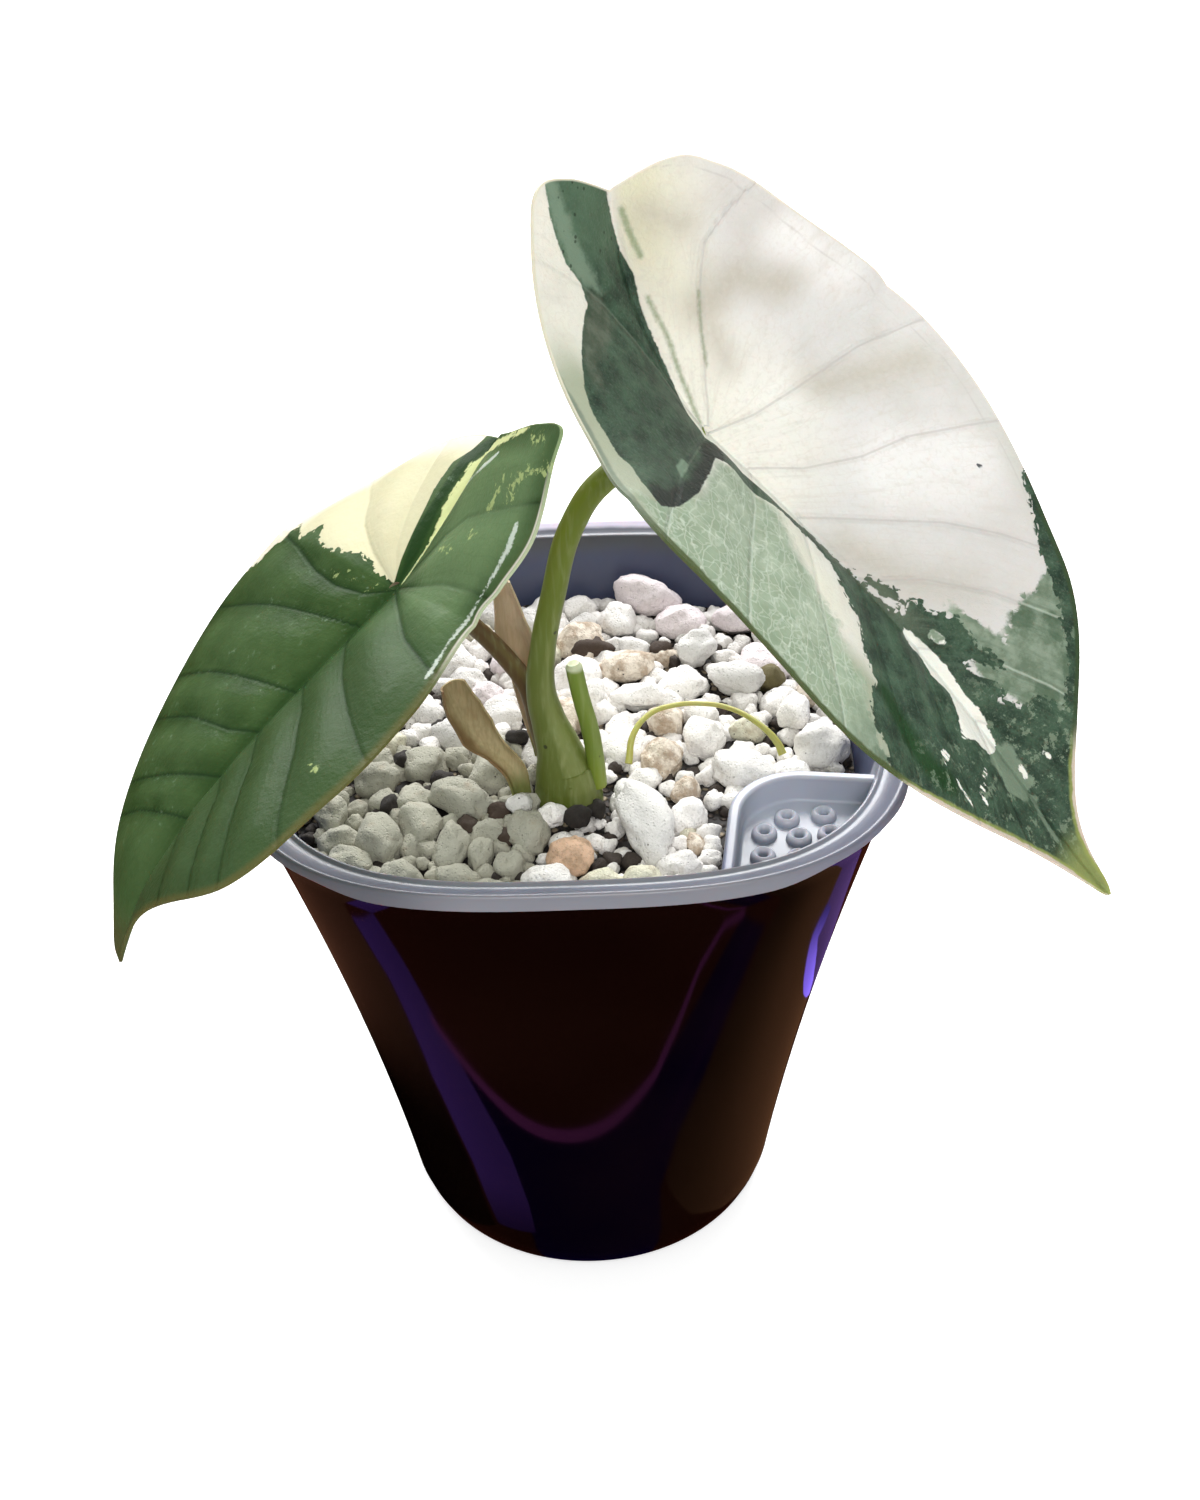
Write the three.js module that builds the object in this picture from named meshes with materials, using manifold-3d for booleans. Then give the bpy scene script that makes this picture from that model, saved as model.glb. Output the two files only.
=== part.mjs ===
// A potted variegated alocasia. Two large leaves stand on their petioles above a short green stem
// that is rooted in pumice gravel. The gravel fills a translucent liner pot, which hangs by its
// flange in a glossy dark outer pot and has a watering well moulded into one corner.
// Millimetres, +Z up. The origin is the centre of the outer pot's foot, and the viewer is at -Y.
import * as THREE from 'three';
import { mergeVertices } from 'three/addons/utils/BufferGeometryUtils.js';
import Module from 'manifold-3d';

const wasm = await Module();
wasm.setup();

const GAP = 0.3;

// The pots: half widths of rounded squares, |x|^p + |y|^p = half^p, where p is the squareness.
const AROUND = 52;
const FOOT_HALF = 32;
const POT_TOP_HALF = 50.6;
const POT_TOP_Z = 101.5;
const POT_WALL = 1.4;
const POT_FLOOR = 2;
const ROUND = 2;
const SQUARE = 3.05;
const RIM_HALF = 52.5;
const RIM_Z = 104;
const LINER_WALL = 1;
const LINER_FLOOR_Z = 25;
const LINER_SLACK = 0.6;

// The watering well in the liner's right front corner. Its plan is turned a little about its own
// inner corner, and a skirt below its floor reaches down to the gravel.
const WELL_X = 26.2;
const WELL_Y = -21.5;
const WELL_TURN = -8;
const WELL_CORNER = 9.1;
const WELL_WALL = 1.9;
const WELL_FLOOR = 1.2;
const WELL_FLOOR_Z = 96.5;
const WELL_TOP_Z = 101;
const WELL_SKIRT_Z = 92.6;
const WELL_CLEAR_X = 21.4;
const WELL_CLEAR_Y = -20;
const COLLARS = [[33.5, -32.3], [32.1, -27.6], [37.7, -27], [28.4, -31.1], [27.8, -36.5], [38.2, -31.8], [33, -37.2]];
const COLLAR_RADIUS = 2;
const COLLAR_BORE = 0.9;
const COLLAR_HEIGHT = 1.1;
const DRAIN_RADIUS = 3;
const DRAIN_RING = 17;

// The gravel.
const FILL_Z = 91.7;
const STONE_SEED = 4127;
const STONE_SIZES = [[12, 4.8], [26, 3.9], [22, 3.2]];
const STONE_TRIES = 60;

// The plant.
const BLADE_HALF_THICKNESS = 0.35;
const STEM_TOP_Z = 98.2;

// One step of a fixed chain of draws from 0 to 1.
function drawsFrom(seed) {
  let state = seed;
  return () => {
    state = (state * 16807) % 2147483647;
    return state / 2147483647;
  };
}

function degrees(angle) {
  return (angle * Math.PI) / 180;
}

// A closed skin over rings of equal counts that wind anticlockwise seen from the last ring,
// with a fan over each end.
function skin(rings) {
  const count = rings[0].length;
  const points = rings.flat();
  const faces = [];
  for (let ring = 0; ring + 1 < rings.length; ring += 1) {
    for (let i = 0; i < count; i += 1) {
      const a = ring * count + i;
      const b = ring * count + ((i + 1) % count);
      faces.push(a, b, b + count, a, b + count, a + count);
    }
  }
  const ends = [rings[0], rings[rings.length - 1]];
  ends.forEach((ring, end) => {
    const middle = new THREE.Vector3();
    ring.forEach((point) => middle.addScaledVector(point, 1 / count));
    const hub = points.push(middle) - 1;
    const start = end * (rings.length - 1) * count;
    for (let i = 0; i < count; i += 1) {
      const a = start + i;
      const b = start + ((i + 1) % count);
      faces.push(hub, end ? a : b, end ? b : a);
    }
  });
  return new THREE.BufferGeometry().setFromPoints(points).setIndex(faces);
}

function roundedSquare(half, squareness, z) {
  const ring = [];
  for (let i = 0; i < AROUND; i += 1) {
    const angle = ((i + 0.5) / AROUND) * 2 * Math.PI;
    const c = Math.cos(angle);
    const s = Math.sin(angle);
    const reach = half / (Math.abs(c) ** squareness + Math.abs(s) ** squareness) ** (1 / squareness);
    ring.push(new THREE.Vector3(reach * c, reach * s, z));
  }
  return ring;
}

function toSolid(geometry) {
  const bare = geometry.clone();
  bare.deleteAttribute('normal');
  bare.deleteAttribute('uv');
  const merged = mergeVertices(bare, 1e-4);
  const mesh = new wasm.Mesh({
    numProp: 3,
    vertProperties: new Float32Array(merged.attributes.position.array),
    triVerts: new Uint32Array(merged.index.array),
  });
  return new wasm.Manifold(mesh);
}

function toGeometry(solid) {
  const mesh = solid.getMesh();
  const geometry = new THREE.BufferGeometry();
  geometry.setAttribute('position', new THREE.BufferAttribute(mesh.vertProperties, 3));
  geometry.setIndex(new THREE.BufferAttribute(mesh.triVerts, 1));
  return geometry;
}

function cylinder(radius, low, high, x, y, sides) {
  const shape = new THREE.CylinderGeometry(radius, radius, high - low, sides);
  shape.rotateX(Math.PI / 2);
  shape.translate(x, y, (low + high) / 2);
  return shape;
}

// The outer pot widens from a round foot to a rounded square mouth.
function potHalf(z) {
  return FOOT_HALF + (POT_TOP_HALF - FOOT_HALF) * Math.max(z / POT_TOP_Z, 0) ** 1.1;
}

function potSquareness(z) {
  return ROUND + (SQUARE - ROUND) * Math.max(z / POT_TOP_Z, 0) ** 2.2;
}

function potRing(z, inset) {
  return roundedSquare(potHalf(z) - inset, potSquareness(z), z);
}

function outerPot() {
  const rings = [
    potRing(0, 4.6),
    potRing(0.7, 2.4),
    potRing(2.4, 0.7),
    potRing(5.2, 0),
    potRing(30, 0),
    potRing(56, 0),
    potRing(80, 0),
    potRing(POT_TOP_Z - 0.4, 0),
    potRing(POT_TOP_Z, 0.4),
    potRing(POT_TOP_Z, POT_WALL - 0.3),
    potRing(POT_TOP_Z - 0.4, POT_WALL),
    potRing(80, POT_WALL),
    potRing(56, POT_WALL),
    potRing(30, POT_WALL),
    potRing(POT_FLOOR + 4, POT_WALL),
    potRing(POT_FLOOR, POT_WALL + 4),
  ];
  return skin(rings);
}

// The liner hangs inside the pot with a slack that grows downwards.
function linerInset(z) {
  return POT_WALL + LINER_SLACK + 0.03 * (POT_TOP_Z - z);
}

function linerRing(z, inset) {
  return potRing(z, linerInset(z) + inset);
}

function rimRing(inset, z) {
  return roundedSquare(RIM_HALF - inset, SQUARE, z);
}

function linerOutside() {
  return skin([
    linerRing(LINER_FLOOR_Z, 2.5),
    linerRing(LINER_FLOOR_Z + 2.5, 0),
    linerRing(66, 0),
    linerRing(POT_TOP_Z, 0),
    rimRing(3.4, 102),
    rimRing(1.2, 102.6),
    rimRing(1, 101.3),
    rimRing(-0.1, 101.3),
    rimRing(0, 103.8),
    rimRing(0.4, RIM_Z),
    rimRing(1, RIM_Z - 0.2),
    rimRing(3.6, 102.8),
    rimRing(4.1, 103.2),
    rimRing(4.5, 103.1),
  ]);
}

function linerHollow(shrink) {
  return skin([
    linerRing(LINER_FLOOR_Z + 1, LINER_WALL + 2.5 + shrink),
    linerRing(LINER_FLOOR_Z + 3.5, LINER_WALL + shrink),
    linerRing(66, LINER_WALL + shrink),
    linerRing(POT_TOP_Z, LINER_WALL + shrink),
    rimRing(4.7 + shrink, 103.2),
    rimRing(4.7 + shrink, RIM_Z + 4),
  ]);
}

// The well's plan: straight sides that run out through the liner's corner, and one round corner.
function wellBlock(grow, low, high) {
  const outline = new THREE.Shape();
  const left = WELL_X - grow;
  const back = WELL_Y + grow;
  const radius = WELL_CORNER + grow;
  outline.moveTo(left, -60);
  outline.lineTo(60, -60);
  outline.lineTo(60, back);
  outline.lineTo(left + radius, back);
  outline.absarc(left + radius, back - radius, radius, Math.PI / 2, Math.PI, false);
  const options = { depth: high - low, bevelEnabled: false, curveSegments: 8 };
  const block = new THREE.ExtrudeGeometry(outline, options);
  block.translate(-WELL_X, -WELL_Y, low);
  block.rotateZ(degrees(WELL_TURN));
  block.translate(WELL_X, WELL_Y, 0);
  return toSolid(block);
}

function liner() {
  const hollow = toSolid(linerHollow(0));
  const well = wellBlock(WELL_WALL, WELL_SKIRT_Z, WELL_TOP_Z)
    .subtract(wellBlock(0, WELL_FLOOR_Z, WELL_TOP_Z + 1))
    .subtract(wellBlock(0, WELL_SKIRT_Z - 1, WELL_FLOOR_Z - WELL_FLOOR));
  let solid = toSolid(linerOutside()).subtract(hollow.subtract(well));
  for (const [x, y] of COLLARS) {
    const collar = cylinder(COLLAR_RADIUS, WELL_FLOOR_Z - 0.5, WELL_FLOOR_Z + COLLAR_HEIGHT, x, y, 8);
    const bore = cylinder(COLLAR_BORE, WELL_FLOOR_Z - 3, WELL_FLOOR_Z + 4, x, y, 6);
    solid = solid.add(toSolid(collar)).subtract(toSolid(bore));
  }
  const drains = [[0, 0]];
  for (let i = 0; i < 4; i += 1) {
    drains.push([DRAIN_RING * Math.cos(i * Math.PI / 2), DRAIN_RING * Math.sin(i * Math.PI / 2)]);
  }
  for (const [x, y] of drains) {
    solid = solid.subtract(toSolid(cylinder(DRAIN_RADIUS, LINER_FLOOR_Z - 2, LINER_FLOOR_Z + 3, x, y, 8)));
  }
  return toGeometry(solid);
}

// The larger stones that lie on top: x, y, z, half sizes across, deep and high, turn, and lean.
const TOP_STONES = [
  [-32, -9, 93, 3.8, 3.4, 3, -10, 0], [-30, -25, 92.5, 4.1, 4.6, 3.9, 0, 0],
  [-24, -21, 93, 3.2, 4, 3.4, 15, 0], [-18, -16, 94, 5.5, 3.2, 3, -30, 0],
  [-19, -27, 92.5, 2.7, 4.6, 3.4, -5, 0], [-14.5, -28, 92, 1.8, 3, 2.6, -10, 0],
  [-10, -31, 92, 2.4, 3.2, 2.6, -15, 0], [-7, -24, 93, 3.1, 4.4, 3.2, 5, 0],
  [-38, -18, 93, 2.8, 3.6, 3, 0, 0], [-25, 10, 92.5, 3.2, 3.4, 2.8, 0, 0],
  [-0.5, -30, 93, 3.6, 4, 3.2, -10, 0], [13, 40.5, 95, 6.1, 3.6, 3.6, -24, 8],
  [8, 35, 93.6, 3.2, 3.8, 3, 0, 0], [19, 34.5, 93, 4.3, 3.4, 3, -10, 0],
  [29, 34, 93.6, 4.4, 3, 2.6, -10, 0], [21, 24, 94.2, 3, 4, 3, -35, 0],
  [9, 20.5, 93.5, 4.8, 3.2, 2.6, 0, 0], [11, 12, 93, 4.8, 2.8, 2.4, 0, 0],
  [27, 15, 94, 5, 3.4, 2.8, -25, 0], [36, 4, 94, 2.7, 3.6, 3.2, 0, 0], [39.5, -5, 94, 4.2, 4.6, 4, 0, 0],
  [21, -1.5, 93.6, 3.4, 3.8, 3.4, 0, 0], [15, 4, 93, 3.3, 3, 2.6, -15, 0],
  [28.5, 1.5, 92.8, 3, 2.6, 2.4, -10, 0], [14, -6.5, 93, 3.5, 3.6, 3.2, 0, 0],
  [26.5, -10.5, 93.4, 4.7, 3.8, 3, -15, 0], [3, 12, 93, 2.9, 3.8, 3, 0, 0],
  [10.5, -25, 95.6, 8.2, 3.8, 3.6, -66, 24], [17.5, -14.5, 92.6, 2.4, 2.8, 2.6, 0, 0],
  [4, -36, 92, 3.4, 2.8, 2.6, -10, 0], [-3.6, -21, 94, 2.4, 1.9, 1.9, 0, 0],
  [-8.6, -18.4, 94.4, 2, 1.7, 1.6, 0, 0], [17.5, -21, 92.6, 3, 3.4, 2.8, 0, 0],
  [16, -33, 92.4, 3.6, 3, 2.6, 0, 0], [10, -36.5, 92.2, 3, 2.8, 2.6, 0, 0],
];

function insideLiner(x, y, reach) {
  const half = potHalf(FILL_Z) - linerInset(FILL_Z) - LINER_WALL - reach;
  return (Math.abs(x) / half) ** 2.8 + (Math.abs(y) / half) ** 2.8 < 1;
}

function clearOfWell(x, y, reach) {
  return x < WELL_CLEAR_X - reach || y > WELL_CLEAR_Y + reach;
}

// Smaller stones fill in between the larger ones, each where a draw leaves it room.
function stonePlaces() {
  const draw = drawsFrom(STONE_SEED);
  const places = TOP_STONES.map((stone) => [...stone]);
  for (const [count, size] of STONE_SIZES) {
    for (let n = 0; n < count; n += 1) {
      for (let attempt = 0; attempt < STONE_TRIES; attempt += 1) {
        const x = (draw() * 2 - 1) * 46;
        const y = (draw() * 2 - 1) * 46;
        const reach = size * (0.85 + 0.3 * draw());
        const roomy = places.every(([px, py, , across, deep]) => {
          return Math.hypot(px - x, py - y) > 0.8 * (reach + (across + deep) / 2);
        });
        const clearOfStem = Math.hypot(x, y + 13) > reach + 6.5;
        if (roomy && clearOfStem && insideLiner(x, y, reach) && clearOfWell(x, y, reach)) {
          places.push([x, y, FILL_Z - 0.4 + 1.4 * draw(), reach, reach * 0.85, reach * 0.8, draw() * 180, 0]);
          break;
        }
      }
    }
  }
  return places;
}

function stone([x, y, z, across, deep, high, turn, lean]) {
  const shape = new THREE.IcosahedronGeometry(1.06, 0);
  shape.rotateX(x + y);
  shape.scale(across, deep, high);
  shape.rotateY(degrees(lean));
  shape.rotateZ(degrees(turn));
  shape.translate(x, y, z);
  return toSolid(shape);
}

// A ring's centre on a path, which a grown copy overshoots at both ends.
function ringCentre(curve, frames, step, steps, grow) {
  const overshoot = { 0: -grow, [steps]: grow }[step] ?? 0;
  return curve.getPointAt(step / steps).addScaledVector(frames.tangents[step], overshoot);
}

// A tapering round stem: rings along a smooth path, with the radius eased between the given ones.
function stem(path, radii, steps, sides, grow) {
  const curve = new THREE.CatmullRomCurve3(path.map((point) => new THREE.Vector3(...point)));
  const frames = curve.computeFrenetFrames(steps);
  const rings = [];
  for (let step = 0; step <= steps; step += 1) {
    const along = step / steps;
    const slot = Math.min(Math.floor(along * (radii.length - 1)), radii.length - 2);
    const between = along * (radii.length - 1) - slot;
    const radius = THREE.MathUtils.lerp(radii[slot], radii[slot + 1], between) + grow;
    const centre = ringCentre(curve, frames, step, steps, grow);
    const ring = [];
    for (let i = 0; i < sides; i += 1) {
      const angle = (i / sides) * 2 * Math.PI;
      ring.push(centre.clone()
        .addScaledVector(frames.normals[step], radius * Math.cos(angle))
        .addScaledVector(frames.binormals[step], radius * Math.sin(angle)));
    }
    rings.push(ring);
  }
  return skin(rings);
}

// A dry sheath: a thin strip, curled about its length, that narrows to its tip.
function sheath(path, widths, curl, turn, steps, grow) {
  const curve = new THREE.CatmullRomCurve3(path.map((point) => new THREE.Vector3(...point)));
  const frames = curve.computeFrenetFrames(steps);
  const across = 5;
  const halfThickness = 0.32 + grow;
  const rings = [];
  for (let step = 0; step <= steps; step += 1) {
    const along = step / steps;
    const slot = Math.min(Math.floor(along * (widths.length - 1)), widths.length - 2);
    const between = along * (widths.length - 1) - slot;
    const half = THREE.MathUtils.lerp(widths[slot], widths[slot + 1], between) / 2 + grow;
    const centre = ringCentre(curve, frames, step, steps, grow);
    const bend = degrees(curl);
    const radius = half / bend;
    const ring = [];
    for (let i = 0; i < 2 * across; i += 1) {
      const inner = i >= across;
      const place = inner ? 2 * across - 1 - i : i;
      const angle = bend * ((2 * place) / (across - 1) - 1);
      const reach = radius + (inner ? -halfThickness : halfThickness);
      const side = reach * Math.sin(angle);
      const rise = reach * Math.cos(angle) - radius;
      const a = side * Math.cos(degrees(turn)) - rise * Math.sin(degrees(turn));
      const b = side * Math.sin(degrees(turn)) + rise * Math.cos(degrees(turn));
      ring.push(centre.clone()
        .addScaledVector(frames.normals[step], -a)
        .addScaledVector(frames.binormals[step], b));
    }
    rings.push(ring);
  }
  return skin(rings);
}

// Each leaf is drawn flat, u along the midrib from the petiole's joint and v to its left, and bent
// into place. Angles are in degrees. arch bends the midrib over its length, twist turns the blade
// about it, fold lifts each half, hook, sway and droop move the tip, and the outlines run from the
// tip to the notch behind the joint.
const LARGE_LEAF = {
  joint: [21, -13.6, 154.9], heading: -32.9, rise: -43.6, roll: -0.4,
  front: 91.7, back: 36.9, halfWidth: 36,
  archFront: 8, archBack: -42.5, twistFront: 10.2, twistBack: 24.6,
  foldLeft: 21.7, foldRight: 16.9, camber: -0.02, hook: 13.1, sway: 6.6, droop: 0,
  left: [[91.7, 0], [90.6, 0.9], [76.7, 5], [55.3, 23], [40, 29.7], [19.1, 36.4], [1.4, 38.2],
    [-11.6, 33.4], [-33.2, 20.9], [-40.3, 12.8], [-40.6, 7.7], [-36.9, 0]],
  right: [[91.7, 0], [90.6, 0.9], [76.7, 9.3], [55.3, 26.2], [40, 33.6], [19.1, 35.4], [1.4, 35.8],
    [-11.6, 27], [-33.2, 17.7], [-41, 14], [-40.8, 7.8], [-36.9, 0]],
};
const SMALL_LEAF = {
  joint: [-22.3, -36.2, 144.8], heading: -137, rise: -35.5, roll: 13.3,
  front: 63.4, back: 25.2, halfWidth: 30,
  archFront: -11.2, archBack: -2.3, twistFront: 19.1, twistBack: 21.6,
  foldLeft: 16.4, foldRight: 16.5, camber: 0.25, hook: -14.7, sway: -5.2, droop: 14.3,
  left: [[63.4, 0], [61.8, 2.6], [57.3, 6.8], [46.7, 28.6], [29.5, 31.3], [14, 28.3], [0.8, 22.8],
    [-5, 25], [-12.1, 28.9], [-20.5, 29.8], [-24.8, 30.6], [-25, 25], [-24, 14], [-24.6, 5], [-25.2, 0]],
  right: [[63.4, 0], [61.8, 2.6], [57.3, 6.9], [46.7, 18.5], [29.5, 29.2], [14, 34.4], [-0.7, 30.8],
    [-12.1, 28.2], [-19.5, 23.2], [-23, 15.5], [-24.6, 7.5], [-25.2, 0]],
};

// The leaf's own directions: along the midrib, to the left, and out of the upper face.
function leafAxes(leaf) {
  const heading = degrees(leaf.heading);
  const rise = degrees(leaf.rise);
  const along = new THREE.Vector3(
    Math.cos(heading) * Math.cos(rise), Math.sin(heading) * Math.cos(rise), Math.sin(rise),
  );
  const level = new THREE.Vector3(0, 0, 1).cross(along).normalize();
  const over = along.clone().cross(level);
  const roll = degrees(leaf.roll);
  const left = level.multiplyScalar(Math.cos(roll)).addScaledVector(over, Math.sin(roll));
  return { along, left, out: along.clone().cross(left) };
}

function bladePoint(leaf, u, v) {
  const { along, left, out } = leafAxes(leaf);
  const inFront = u >= 0;
  const reach = inFront ? u / leaf.front : -u / leaf.back;
  const arch = degrees(inFront ? leaf.archFront : leaf.archBack);
  const span = (inFront ? leaf.front : leaf.back) / arch;
  const forward = (inFront ? 1 : -1) * span * Math.sin(arch * reach);
  const sink = span * (1 - Math.cos(arch * reach));
  const slope = (inFront ? 1 : -1) * arch * reach;
  const twist = degrees(inFront ? leaf.twistFront : leaf.twistBack) * reach;
  const fold = degrees(v > 0 ? leaf.foldLeft : leaf.foldRight);
  const lift = -leaf.camber * (v / leaf.halfWidth) ** 2 * leaf.halfWidth;
  const wide = Math.sign(v) * (Math.abs(v) * Math.cos(fold) - lift * Math.sin(fold));
  const high = Math.abs(v) * Math.sin(fold) + lift * Math.cos(fold);
  const tip = inFront ? reach : 0;
  const side = wide * Math.cos(twist) - high * Math.sin(twist)
    + leaf.hook * tip ** 3 + leaf.sway * Math.sin(Math.PI * tip);
  const raised = wide * Math.sin(twist) + high * Math.cos(twist);
  return new THREE.Vector3(...leaf.joint)
    .addScaledVector(along, forward + raised * Math.sin(slope))
    .addScaledVector(left, side)
    .addScaledVector(out, raised * Math.cos(slope) - sink - leaf.droop * tip ** 4);
}

function bladeNormal(leaf, u, v) {
  const step = 0.4;
  const onward = bladePoint(leaf, u + step, v).sub(bladePoint(leaf, u - step, v));
  const sideways = bladePoint(leaf, u, v + step).sub(bladePoint(leaf, u, v - step));
  return onward.cross(sideways).normalize();
}

// The flat outline, anticlockwise: up the left half from tip to notch, and back up the right half.
function leafOutline(leaf, perSpan) {
  const curve = (side, sign) => {
    const points = side.map(([u, v]) => new THREE.Vector2(u, v * sign));
    return new THREE.SplineCurve(points).getPoints((side.length - 1) * perSpan);
  };
  return [...curve(leaf.left, 1).slice(0, -1), ...curve(leaf.right, -1).reverse().slice(0, -1)];
}

// A blade of even thickness, with the same triangles on its upper and lower faces.
function blade(leaf, rows, perSpan) {
  const outline = leafOutline(leaf, perSpan);
  const count = outline.length;
  const flat = [[0, 0]];
  for (let row = 1; row <= rows; row += 1) {
    outline.forEach((point) => flat.push([point.x * (row / rows), point.y * (row / rows)]));
  }
  const points = [];
  for (const face of [1, -1]) {
    for (const [u, v] of flat) {
      const offset = bladeNormal(leaf, u, v).multiplyScalar(face * BLADE_HALF_THICKNESS);
      points.push(bladePoint(leaf, u, v).add(offset));
    }
  }
  const under = flat.length;
  const faces = [];
  const both = (a, b, c) => faces.push(a, b, c, under + a, under + c, under + b);
  for (let i = 0; i < count; i += 1) {
    const next = (i + 1) % count;
    both(0, 1 + i, 1 + next);
    for (let row = 0; row + 1 < rows; row += 1) {
      const a = 1 + row * count + i;
      const b = 1 + row * count + next;
      both(a, a + count, b + count);
      both(a, b + count, b);
    }
    const a = 1 + (rows - 1) * count + i;
    const b = 1 + (rows - 1) * count + next;
    faces.push(a, under + a, under + b, a, under + b, b);
  }
  return new THREE.BufferGeometry().setFromPoints(points).setIndex(faces);
}

// What stands on the stem starts level, just above its level top.
function cutBelow(solid, z) {
  const away = new THREE.BoxGeometry(60, 60, 40);
  away.translate(0, 0, z - 20);
  return solid.subtract(toSolid(away));
}

// A petiole runs up into its leaf and is cut off square just under the blade.
function petiole(leaf, path, radii, steps) {
  const { out } = leafAxes(leaf);
  const joint = new THREE.Vector3(...leaf.joint);
  const end = joint.clone().addScaledVector(out, 1);
  const grown = toSolid(stem([...path, end.toArray()], radii, steps, 10, 0));
  const whole = cutBelow(grown, STEM_TOP_Z + GAP);
  const away = new THREE.BoxGeometry(30, 30, 30);
  away.translate(0, 0, 15 - BLADE_HALF_THICKNESS - 1.5 * GAP);
  away.applyQuaternion(new THREE.Quaternion().setFromUnitVectors(new THREE.Vector3(0, 0, 1), out));
  away.translate(...leaf.joint);
  return toGeometry(whole.subtract(toSolid(away)));
}

// The stem, sunk in the gravel, and what grows from its top or side.
const STEM = {
  path: [[-1, -13.2, 76], [-1, -13.4, 84], [-1, -13.6, 92], [-1, -13.6, STEM_TOP_Z]],
  radii: [4, 5.7, 5.5, 4.7],
};
const STUB = {
  path: [[3.6, -14.8, STEM_TOP_Z - 2], [3.4, -14.8, 100], [2.7, -14.8, 106], [1.6, -14.8, 111.5],
    [0.7, -14.7, 117.6]],
  radii: [1.35, 1.4, 1.35, 1.3],
};
const LEFT_SHEATH = {
  path: [[-8.6, -15.6, 94.2], [-9.6, -15.2, 98.6], [-12.3, -14.6, 102], [-15.2, -13.8, 105.5],
    [-17.3, -13.2, 109.5], [-18.6, -12.8, 113.8]],
  widths: [4, 4.4, 5.4, 8, 8.4, 5.6], curl: 80, turn: 240,
};
const BACK_SHEATH = {
  path: [[-4, -5.6, 94.6], [-5.2, -4.4, 103], [-6.6, -4, 112], [-8.4, -4.4, 120], [-9.6, -5, 127]],
  widths: [5, 6, 6.6, 6, 2.6], curl: 55, turn: 200,
};
const ROOT = {
  path: [[8.6, -9.4, 94.8], [9.6, -6, 98.2], [12.3, -3.3, 100], [16, -1.6, 100.3], [20.6, -1.2, 100.2],
    [25, -1.8, 99.6], [29.4, -4.6, 98.4], [32.4, -7, 96.2], [33.2, -8, 94.6]],
  radii: [0.7, 0.6, 0.55, 0.6, 0.8],
};

function plantStem(grow) {
  return stem(STEM.path, STEM.radii, 6, 14, grow);
}

function drySheath({ path, widths, curl, turn }, grow) {
  return sheath(path, widths, curl, turn, 8, grow);
}

// The gravel: a bed up to FILL_Z, stones bedded in its top, and room for what stands in it.
function gravel() {
  const bed = skin([
    linerRing(LINER_FLOOR_Z + 1 + GAP, LINER_WALL + 3 + GAP),
    linerRing(LINER_FLOOR_Z + 4, LINER_WALL + GAP),
    linerRing(66, LINER_WALL + GAP),
    linerRing(FILL_Z, LINER_WALL + GAP),
  ]);
  let solid = toSolid(bed);
  for (const place of stonePlaces()) {
    solid = solid.add(stone(place));
  }
  const room = [
    wellBlock(WELL_WALL + GAP, WELL_SKIRT_Z - GAP, 120),
    toSolid(plantStem(GAP)),
    toSolid(stem(ROOT.path, ROOT.radii, 20, 6, GAP)),
    toSolid(drySheath(LEFT_SHEATH, 2 * GAP)),
    toSolid(drySheath(BACK_SHEATH, 2 * GAP)),
  ];
  for (const cut of room) {
    solid = solid.subtract(cut);
  }
  const pieces = solid.intersect(toSolid(linerHollow(GAP))).decompose();
  pieces.sort((one, other) => other.volume() - one.volume());
  return toGeometry(pieces[0]);
}

function finish(colour, roughness, options = {}) {
  return new THREE.MeshStandardMaterial({ color: colour, roughness, metalness: 0, ...options });
}

const group = new THREE.Group();

function place(name, geometry, material) {
  const mesh = new THREE.Mesh(geometry, material);
  mesh.name = name;
  group.add(mesh);
}

place('outer_pot', outerPot(), finish(0x150d10, 0.12));
place('liner_pot', liner(), finish(0x8e93a6, 0.35, { transparent: true, opacity: 0.85 }));
place('gravel', gravel(), finish(0xdcd7cc, 0.9));
place('stem', plantStem(0), finish(0x86a03c, 0.45));
place('large_petiole', petiole(
  LARGE_LEAF,
  [[-1.2, -13.9, STEM_TOP_Z - 2], [-2.4, -13.7, 101.5], [-4.5, -12.8, 111.8], [-3.9, -12.8, 119.1],
    [-2.1, -13.2, 128.1], [1.8, -14.5, 142.3], [6.6, -15.6, 149.6], [13, -15, 153]],
  [3.2, 2.9, 2.3, 2.15, 2.05, 1.95, 1.9, 1.8],
  26,
), finish(0x8fa650, 0.4));
place('large_leaf', blade(LARGE_LEAF, 6, 3), finish(0xe9e6d6, 0.4));
place('small_petiole', petiole(
  SMALL_LEAF,
  [[-4.8, -9.6, STEM_TOP_Z - 2], [-5.2, -8.8, 103], [-6.7, -8.2, 109.4], [-8.9, -8.2, 113.6],
    [-13.7, -10, 121.4], [-17.4, -15.4, 128.6], [-20, -23.4, 136.4], [-21.4, -31, 142]],
  [1.6, 1.75, 1.7, 1.6, 1.5],
  20,
), finish(0x8a6a3c, 0.5));
place('small_leaf', blade(SMALL_LEAF, 5, 2), finish(0x3d6b3a, 0.35));
place(
  'cut_stub',
  toGeometry(cutBelow(toSolid(stem(STUB.path, STUB.radii, 8, 10, 0)), STEM_TOP_Z + GAP)),
  finish(0x7d9c30, 0.5),
);
place('left_sheath', drySheath(LEFT_SHEATH, 0), finish(0xc9b183, 0.8));
place('back_sheath', drySheath(BACK_SHEATH, 0), finish(0xc7ab8b, 0.8));
place('root', stem(ROOT.path, ROOT.radii, 20, 6, 0), finish(0xa8b050, 0.6));

export default group;
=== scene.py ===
import math

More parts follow.
